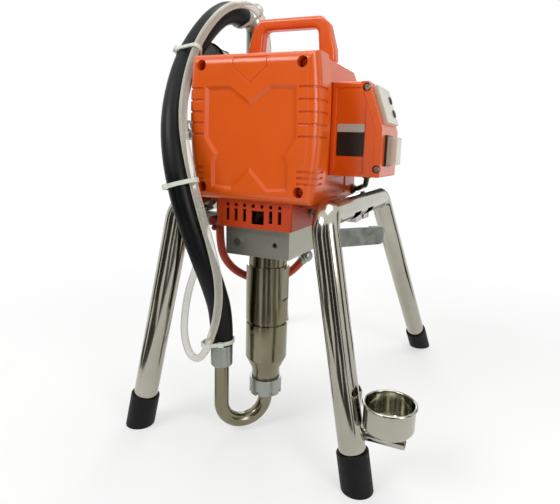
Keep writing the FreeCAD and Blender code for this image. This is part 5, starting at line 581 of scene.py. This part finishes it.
class SPRAYER_OT_stage(Operator):
    """Makes the camera at the photograph's angle, the floor, the flags, the lamps and the world"""
    bl_idname = "sprayer.stage"
    bl_label = "Stage"

    def execute(self, context):
        self.camera(context.scene)
        self.floor(context.scene)
        self.flags(context.scene)
        self.lamps(context.scene)
        self.world(context.scene)
        context.scene.view_settings.view_transform = "Standard"
        return {"FINISHED"}

    def camera(self, scene):
        """The photograph's camera; focal length, centre, width and height are in its pixels."""
        focal, centre_x, centre_y, width, height, sensor_width = 477.04, 296.91, 248.96, 560, 504, 36
        yaw, pitch, roll = math.radians(22.42), math.radians(11.74), math.radians(-2.02)
        place = at(0.237845, -0.60965, 0.337892)
        ahead = Vector((-math.sin(yaw) * math.cos(pitch), math.cos(yaw) * math.cos(pitch), -math.sin(pitch)))
        right = Vector((math.cos(yaw), math.sin(yaw), 0))
        up = right.cross(ahead)
        across = right * math.cos(roll) - up * math.sin(roll)
        above = right * math.sin(roll) + up * math.cos(roll)
        data = bpy.data.cameras.new("camera")
        data.sensor_width = sensor_width
        data.lens = sensor_width * focal / width
        data.shift_x = (width / 2 - centre_x) / width
        data.shift_y = (centre_y - height / 2) / width
        data.clip_start = 0.02
        camera = bpy.data.objects.new("camera", data)
        turn = Matrix((across, above, -ahead)).transposed().to_4x4()
        camera.matrix_world = Matrix.Translation(place) @ turn
        scene.collection.objects.link(camera)
        scene.camera = camera

    def seen_white(self, tree):
        """One for the rays that see the background: from the camera, off metal and through plastic."""
        light = add(tree, "ShaderNodeLightPath").outputs
        seen = add(tree, "ShaderNodeMath", {0: light["Is Camera Ray"], 1: light["Is Glossy Ray"]},
                   operation="MAXIMUM")
        return add(tree, "ShaderNodeMath", {0: seen.outputs[0], 1: light["Is Transmission Ray"]},
                   operation="MAXIMUM").outputs[0]

    def floor(self, scene):
        """A pale floor that keeps the shadow by the sprayer and turns white further out."""
        half_side, near, far, white_share = 30, 0.42, 0.85, 0.55
        bm = bmesh.new()
        bmesh.ops.create_grid(bm, x_segments=1, y_segments=1, size=half_side)
        material, tree, shader, coords = finish("matt_floor", scene.sprayer_colours.floor, 0.0, 0.9)
        reach = add(tree, "ShaderNodeVectorMath", {0: coords}, operation="LENGTH").outputs["Value"]
        share = add(tree, "ShaderNodeMapRange", {"Value": reach, "From Min": near, "From Max": far,
                                                 "To Min": white_share, "To Max": 1.0}).outputs["Result"]
        seen = add(tree, "ShaderNodeMath", {0: share, 1: self.seen_white(tree)}, operation="MULTIPLY")
        white = add(tree, "ShaderNodeEmission", {"Color": (1, 1, 1, 1), "Strength": 1.0})
        mix = add(tree, "ShaderNodeMixShader", {0: seen.outputs[0], 1: shader.outputs[0],
                                                2: white.outputs[0]})
        tree.links.new(mix.outputs[0], tree.nodes["Material Output"].inputs["Surface"])
        self.set_up("floor", bm, material)

    def set_up(self, name, bm, material):
        """Makes a piece of the stage from a bmesh."""
        mesh = bpy.data.meshes.new(name)
        bm.to_mesh(mesh)
        bm.free()
        mesh.materials.append(material)
        item = bpy.data.objects.new(name, mesh)
        bpy.context.scene.collection.objects.link(item)
        return item

    def flags(self, scene):
        """Dark studio flags round the sprayer, upright and on the floor, seen only in its reflections."""
        reach, near, lift, narrowing = 0.95, 0.46, 0.002, 0.6
        colours = scene.sprayer_colours
        bm = bmesh.new()
        for turn, width, high in ((-150, 0.28, 0.9), (-119, 0.56, 0.85), (-85, 0.30, 0.9), (-64, 0.32, 1.0),
                                  (-46, 0.10, 0.9), (-12, 0.24, 0.8), (36, 0.26, 0.8), (88, 0.24, 0.9),
                                  (140, 0.26, 0.8)):
            upright = Matrix.Translation((0, -reach, high / 2)) @ Matrix.Rotation(math.radians(90), 4, "X")
            lying = Matrix.Translation((0, -(reach + near) / 2, lift))
            for place, size in ((upright, (width, high)), (lying, (width * narrowing, reach - near))):
                made = bmesh.ops.create_grid(bm, x_segments=1, y_segments=1, size=0.5)
                bmesh.ops.transform(bm, matrix=Matrix.Rotation(math.radians(turn + 90), 4, "Z") @ place
                                    @ Matrix.Diagonal((*size, 1, 1)), verts=made["verts"])
        material, tree, shader, coords = finish("grey_felt", colours.felt, 0.0, 1.0)
        mottle(tree, shader, grain(tree, coords, 333.3, 2), colours.felt, colours.felt_light)
        flags = self.set_up("flags", bm, material)
        for ray in ("camera", "diffuse", "transmission", "shadow", "volume_scatter"):
            setattr(flags, "visible_" + ray, False)

    def lamps(self, scene):
        """Four soft area lamps, turned to the middle of the sprayer."""
        middle = at(0, -0.06, 0.26)
        for name, place, size, power in (
            ("key_lamp", (-0.8, -1.4, 1.55), (0.9, 0.9), 17),
            ("fill_lamp", (1.5, -1.0, 0.9), (0.7, 1.2), 12),
            ("top_lamp", (0.1, 0.2, 1.9), (1.1, 1.1), 13),
            ("rim_lamp", (-0.6, 1.5, 1.0), (0.8, 1.0), 8),
        ):
            data = bpy.data.lights.new(name, "AREA")
            data.shape = "RECTANGLE"
            data.size, data.size_y = size
            data.energy = power
            lamp = bpy.data.objects.new(name, data)
            lamp.location = place
            lamp.rotation_euler = (middle - lamp.location).to_track_quat("-Z", "Y").to_euler()
            scene.collection.objects.link(lamp)

    def world(self, scene):
        """Dim, slightly blue light from all round, with a white background where it is seen."""
        sky_colour, sky_strength = (0.85, 0.86, 0.88, 1), 0.40
        world = bpy.data.worlds.new("studio")
        world.use_nodes = True
        tree = world.node_tree
        ground = tree.nodes["Background"]
        ground.inputs["Color"].default_value = sky_colour
        ground.inputs["Strength"].default_value = sky_strength
        white = add(tree, "ShaderNodeBackground", {"Color": (1, 1, 1, 1), "Strength": 1.0})
        mix = add(tree, "ShaderNodeMixShader", {0: self.seen_white(tree), 1: ground.outputs[0],
                                                2: white.outputs[0]})
        tree.links.new(mix.outputs[0], tree.nodes["World Output"].inputs["Surface"])
        scene.world = world


class SPRAYER_OT_lines(Operator):
    """Lays the suction hose, drain tube, link hose and control lead"""
    bl_idname = "sprayer.lines"
    bl_label = "Hoses and lead"

    def execute(self, context):
        sizes = context.scene.sprayer_sizes
        on_hose = [dress("suction_strainer", "zinc", sizes.metal_edge),
                   dress("cable_ties", "tie", sizes.thin_edge)]
        for name, points, diameter, finish_name, node, long, end, stiffness in (
            ("suction_line", SUCTION_ROUTE, sizes.suction_hose, "hose", "suction_hose", 0.470,
             "fitting", "stiff"),
            ("drain_line", DRAIN_ROUTE, sizes.drain_tube, "vinyl", "drain_tube", 0.883, "bare", "medium"),
            ("link_line", LINK_ROUTE, sizes.link_hose, "link", "link_hose", 0.162, "object", "stiff"),
            ("lead_line", LEAD_ROUTE, sizes.lead, "plastic", "control_cable", 0.060, "object", "medium"),
        ):
            line = line_of(name, points, diameter, finish_name)
            show(line, "root", node)
            at(*points[0])
        return {"FINISHED"}


class SPRAYER_OT_stand(Operator):
    """Dresses the stand: tubes, feet, bars, clip, bracket and drip cup"""
    bl_idname = "sprayer.stand"
    bl_label = "Stand"

    def execute(self, context):
        sizes = context.scene.sprayer_sizes
        for node in ("frame_left", "frame_right"):
            dress(node, "chrome", degrees=30)
        for node in ("foot_front_left", "foot_front_right", "foot_rear_left", "foot_rear_right"):
            dress(node, "rubber", sizes.rubber_edge)
        dress("cross_bars", "chrome", sizes.metal_edge)
        dress("base_bolts", "zinc", sizes.fine_edge)
        dress("hose_clip", "zinc", sizes.fine_edge)
        dress("cup_bracket", "chrome", sizes.fine_edge)
        dress("drip_cup", "chrome", degrees=40)
        return {"FINISHED"}


class SPRAYER_OT_pump(Operator):
    """Dresses the pump, its suction tube and their fittings"""
    bl_idname = "sprayer.pump"
    bl_label = "Pump"

    def execute(self, context):
        sizes = context.scene.sprayer_sizes
        for node in ("pump_cylinder", "intake_housing"):
            dress(node, "steel", sizes.heavy_edge)
        dress("suction_nut", "zinc", sizes.heavy_edge)
        dress("suction_tube", "steel", degrees=40)
        dress("hose_ferrule", "zinc", sizes.fine_edge)
        for node in ("intake_ball", "piston_ball", "displacement_rod"):
            paint(node, "steel")
        paint("rod_packings", "leather")
        return {"FINISHED"}


class SPRAYER_OT_drive(Operator):
    """Dresses the bearing block, the guard, the tray and the drive"""
    bl_idname = "sprayer.drive"
    bl_label = "Block and drive"

    def execute(self, context):
        sizes = context.scene.sprayer_sizes
        dress("bearing_block", "milled", sizes.box_edge)
        dress("lower_guard", "coat", sizes.fine_edge)
        dress("base_tray", "coat", sizes.heavy_edge)
        dress("machine_screws", "zinc", sizes.fine_edge)
        dress("motor_shell", "cast", sizes.heavy_edge)
        paint("drive_housing", "cast")
        for node in ("crankshaft", "idler_gear", "drive_bearings", "connecting_rod", "motor_rotor"):
            paint(node, "gear")
        paint("motor_fan", "plastic")
        return {"FINISHED"}


class SPRAYER_OT_covers(Operator):
    """Dresses the moulded covers and the handle"""
    bl_idname = "sprayer.covers"
    bl_label = "Covers"

    def execute(self, context):
        sizes = context.scene.sprayer_sizes
        dress("front_cover", "cover", sizes.moulded_edge, degrees=24, shape=self.slope_field)
        dress("rear_housing", "cover", sizes.housing_edge, degrees=32)
        dress("handle", "cover", sizes.handle_edge, degrees=32)
        dress("cover_screws", "cover", sizes.thin_edge)
        return {"FINISHED"}

    def slope_field(self, bm):
        """Leans the wall round the sunk field, as a mould's draft does, and sinks the field a little more."""
        sizes = bpy.context.scene.sprayer_sizes
        facing_front, least_area, least_sink, most_sink = -0.99, 0.002, 0.001, 0.004
        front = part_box("front_cover")[0][1]
        sunk = [face for face in bm.faces
                if face.normal.y < facing_front and face.calc_area() > least_area
                and least_sink < face.calc_center_median().y - front < most_sink]
        ring = bmesh.ops.inset_region(bm, faces=sunk, thickness=sizes.field_slope, depth=0,
                                      use_even_offset=True, use_boundary=True)["faces"]
        level = sunk[0].verts[0].co.y
        inner = dict.fromkeys(vert for face in sunk for vert in face.verts)
        outer = [vert for vert in dict.fromkeys(vert for face in ring for vert in face.verts)
                 if vert not in inner]
        rims = {vert: max((edge.other_vert(vert) for edge in vert.link_edges),
                          key=lambda other: level - other.co.y) for vert in outer}
        for vert, rim in rims.items():
            if level - rim.co.y > least_sink:
                vert.co = rim.co
        bmesh.ops.translate(bm, vec=(0, sizes.field_sink, 0), verts=list(inner))
        bmesh.ops.remove_doubles(bm, verts=bm.verts, dist=MERGE_DISTANCE)


class SPRAYER_OT_controls(Operator):
    """Dresses the control box, its lid, display, keys and switch, and sticks on the blank label"""
    bl_idname = "sprayer.controls"
    bl_label = "Controls"

    def execute(self, context):
        sizes = context.scene.sprayer_sizes
        dress("control_box", "cover", sizes.box_edge, degrees=32)
        dress("control_lid", "cover", sizes.box_edge, degrees=32)
        dress("display_window", "window", sizes.metal_edge)
        dress("switch_frame", "plastic", sizes.metal_edge)
        dress("switch_rocker", "plastic", sizes.metal_edge)
        dress("switch_boot", "boot", sizes.fine_edge)
        dress("key_up", "plastic")
        dress("key_down", "plastic")
        dress("lid_screws", "zinc", sizes.thin_edge)
        dress("cable_glands", "plastic", sizes.fine_edge)
        paint("control_board", "board")
        self.label()
        self.rocker_mark()
        return {"FINISHED"}

    def label(self):
        """A blank two-tone label in the sunk panel of the box's front."""
        width, height, thickness, corner_share, parting = 0.031, 0.0345, 0.00025, 0.05, 0.0086
        middle = at(0.0836, -0.0936, 0.3502)
        bm = bmesh.new()
        sheet = bmesh.ops.create_grid(bm, x_segments=1, y_segments=1, size=0.5)
        bmesh.ops.bevel(bm, geom=sheet["verts"], offset=corner_share, offset_type="OFFSET", affect="VERTICES",
                        segments=5, profile=0.5, material=-1)
        lifted = bmesh.ops.extrude_face_region(bm, geom=bm.faces[:])["geom"]
        bmesh.ops.translate(bm, vec=(0, 0, thickness),
                            verts=[item for item in lifted if isinstance(item, bmesh.types.BMVert)])
        bmesh.ops.transform(bm, matrix=Matrix.Diagonal((width, height, 1, 1)), verts=bm.verts)
        bmesh.ops.bisect_plane(bm, geom=bm.verts[:] + bm.edges[:] + bm.faces[:], plane_co=(0, parting, 0),
                               plane_no=(0, 1, 0))
        bmesh.ops.recalc_face_normals(bm, faces=bm.faces)
        for face in bm.faces:
            face.material_index = 1 if face.calc_center_median().y > parting else 0
        stand = Matrix.Translation(middle) @ Matrix.Rotation(math.radians(90), 4, "X")
        bmesh.ops.transform(bm, matrix=stand, verts=bm.verts)
        show(piece_of(bm, "blank_label", 30, "black", "white"), "root")

    def rocker_mark(self):
        """The red mark printed near the rocker's lower end."""
        thickness, width, height, edge, lean = 0.0004, 0.007, 0.0028, 0.00012, -11.8
        bm = bmesh.new()
        bmesh.ops.create_cube(bm, size=1, matrix=Matrix.Diagonal((thickness, width, height, 1)))
        break_edges(bm, bm.edges[:], edge)
        place = Matrix.Translation(at(0.1213, -0.064, 0.3315)) @ Matrix.Rotation(math.radians(lean), 4, "Y")
        bmesh.ops.transform(bm, matrix=place, verts=bm.verts)
        show(piece_of(bm, "rocker_mark", 30, "red"), BODY_OF["switch_rocker"])


class SPRAYER_OT_filter(Operator):
    """Dresses the filter column, the gauge with its dial, the valve and the fittings"""
    bl_idname = "sprayer.filter"
    bl_label = "Filter and gauge"

    def execute(self, context):
        sizes = context.scene.sprayer_sizes
        dress("filter_housing", "cast", sizes.heavy_edge)
        dress("gauge_case", "chrome", sizes.metal_edge)
        dress("gauge_needle", "red")
        dress("gauge_lens", "glass")
        dress("prime_valve", "zinc", sizes.metal_edge)
        dress("valve_knob", "red", sizes.fine_edge)
        dress("hose_fittings", "zinc", sizes.metal_edge)
        self.dial()
        self.outlet_thread(sizes.thread_pitch)
        return {"FINISHED"}

    def dial(self):
        """The enamelled dial behind the needle, with ticks and plain numbers."""
        radius, hole, thickness, behind = 0.0222, 0.0017, 0.0002, 0.0008
        sweep, parts, per_number, tick_reach, raised = 270, 40, 10, 0.0206, 0.0003
        number_size, number_reach, number_drop = 0.0046, 0.0142, 0.0014
        long_tick, middle_tick, short_tick = (0.0007, 0.0034), (0.0004, 0.0024), (0.0004, 0.0015)
        case_low, case_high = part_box("gauge_case")
        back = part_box("gauge_needle")[1][1] + behind
        middle = Vector(((case_low[0] + case_high[0]) / 2, back, (case_low[2] + case_high[2]) / 2))
        bm = bmesh.new()
        bmesh.ops.create_circle(bm, cap_ends=True, radius=radius, segments=48)
        ring = bmesh.ops.inset_region(bm, faces=bm.faces[:], thickness=radius - hole, use_even_offset=True)
        bmesh.ops.delete(bm, geom=[face for face in bm.faces if face not in ring["faces"]], context="FACES")
        bmesh.ops.solidify(bm, geom=bm.faces[:], thickness=thickness)
        bmesh.ops.recalc_face_normals(bm, faces=bm.faces)
        for step in range(parts + 1):
            turn = Matrix.Rotation(math.radians(sweep / 2 - sweep * step / parts), 4, "Z")
            wide, long = (long_tick if step % per_number == 0 else
                          middle_tick if step % (per_number // 2) == 0 else short_tick)
            shape = Matrix.Diagonal((wide, long, thickness, 1))
            place = turn @ Matrix.Translation((0, tick_reach - long / 2, raised))
            tick = bmesh.ops.create_cube(bm, size=1, matrix=place @ shape)
            for face in {face for vert in tick["verts"] for face in vert.link_faces}:
                face.material_index = 1
        for number in range(0, parts + 1, per_number):
            angle = math.radians(90 + sweep / 2 - sweep * number / parts)
            across, up = math.cos(angle) * number_reach, math.sin(angle) * number_reach
            self.write(bm, str(number), number_size, Vector((across, up - number_drop, raised)))
        stand = Matrix.Translation(middle) @ Matrix.Rotation(math.radians(90), 4, "X")
        bmesh.ops.transform(bm, matrix=stand, verts=bm.verts)
        show(piece_of(bm, "gauge_dial", 30, "dial", "black"), "root")

    def write(self, bm, text, size, spot):
        """Adds a number's flat shape to a bmesh, with the middle of its foot on a spot."""
        ink = 0.00005
        curve = bpy.data.curves.new("number", "FONT")
        curve.body, curve.size, curve.align_x = text, size, "CENTER"
        curve.extrude = ink
        holder = bpy.data.objects.new("number", curve)
        mesh = bpy.data.meshes.new_from_object(holder)
        known_faces, known_verts = set(bm.faces), set(bm.verts)
        bm.from_mesh(mesh)
        bmesh.ops.translate(bm, vec=spot, verts=[vert for vert in bm.verts if vert not in known_verts])
        for face in bm.faces:
            if face not in known_faces:
                face.material_index = 1
        bpy.data.objects.remove(holder)
        bpy.data.meshes.remove(mesh)

    def outlet_thread(self, pitch):
        """The thread on the nipple for the spray hose: one ridge wound along it."""
        radius, root, crest, turns, steps = 0.0066, -0.0002, 0.0007, 5, 24
        start = at(-0.1355, -0.088, 0.3625)
        bm = bmesh.new()
        ridge = [bm.verts.new(start + Vector((pitch * share, 0, radius + rise)))
                 for share, rise in ((0, root), (0.5, crest), (1, root))]
        profile = [bm.edges.new((ridge[i], ridge[(i + 1) % 3])) for i in range(3)]
        bmesh.ops.spin(bm, geom=ridge + profile, cent=start, axis=(1, 0, 0), dvec=(pitch / steps, 0, 0),
                       angle=2 * math.pi * turns, steps=steps * turns, use_merge=False)
        bmesh.ops.holes_fill(bm, edges=[edge for edge in bm.edges if len(edge.link_faces) == 1])
        bmesh.ops.recalc_face_normals(bm, faces=bm.faces)
        show(piece_of(bm, "outlet_thread", 50, "zinc"), "root")


class SPRAYER_PT_panel(Panel):
    """Lists the steps in the order that they are run"""
    bl_idname = "SPRAYER_PT_panel"
    bl_label = "Paint sprayer"
    bl_space_type = "VIEW_3D"
    bl_region_type = "UI"
    bl_category = "Sprayer"

    def draw(self, context):
        for step in STEPS:
            self.layout.operator(step.bl_idname)
        for group in (context.scene.sprayer_sizes, context.scene.sprayer_colours):
            box = self.layout.box()
            for name in group.bl_rna.properties.keys():
                if name not in ("rna_type", "name"):
                    box.prop(group, name)


STEPS = (SPRAYER_OT_stage, SPRAYER_OT_lines, SPRAYER_OT_stand, SPRAYER_OT_pump, SPRAYER_OT_drive,
         SPRAYER_OT_covers, SPRAYER_OT_controls, SPRAYER_OT_filter)
CLASSES = (SprayerColours, SprayerSizes, *STEPS, SPRAYER_PT_panel)


def register():
    for item in CLASSES:
        bpy.utils.register_class(item)
    bpy.types.Scene.sprayer_colours = PointerProperty(type=SprayerColours)
    bpy.types.Scene.sprayer_sizes = PointerProperty(type=SprayerSizes)


def unregister():
    del bpy.types.Scene.sprayer_sizes
    del bpy.types.Scene.sprayer_colours
    for item in reversed(CLASSES):
        bpy.utils.unregister_class(item)


def main():
    register()
    for step in STEPS:
        group, name = step.bl_idname.split(".")
        getattr(getattr(bpy.ops, group), name)()


if __name__ == "__main__":
    main()
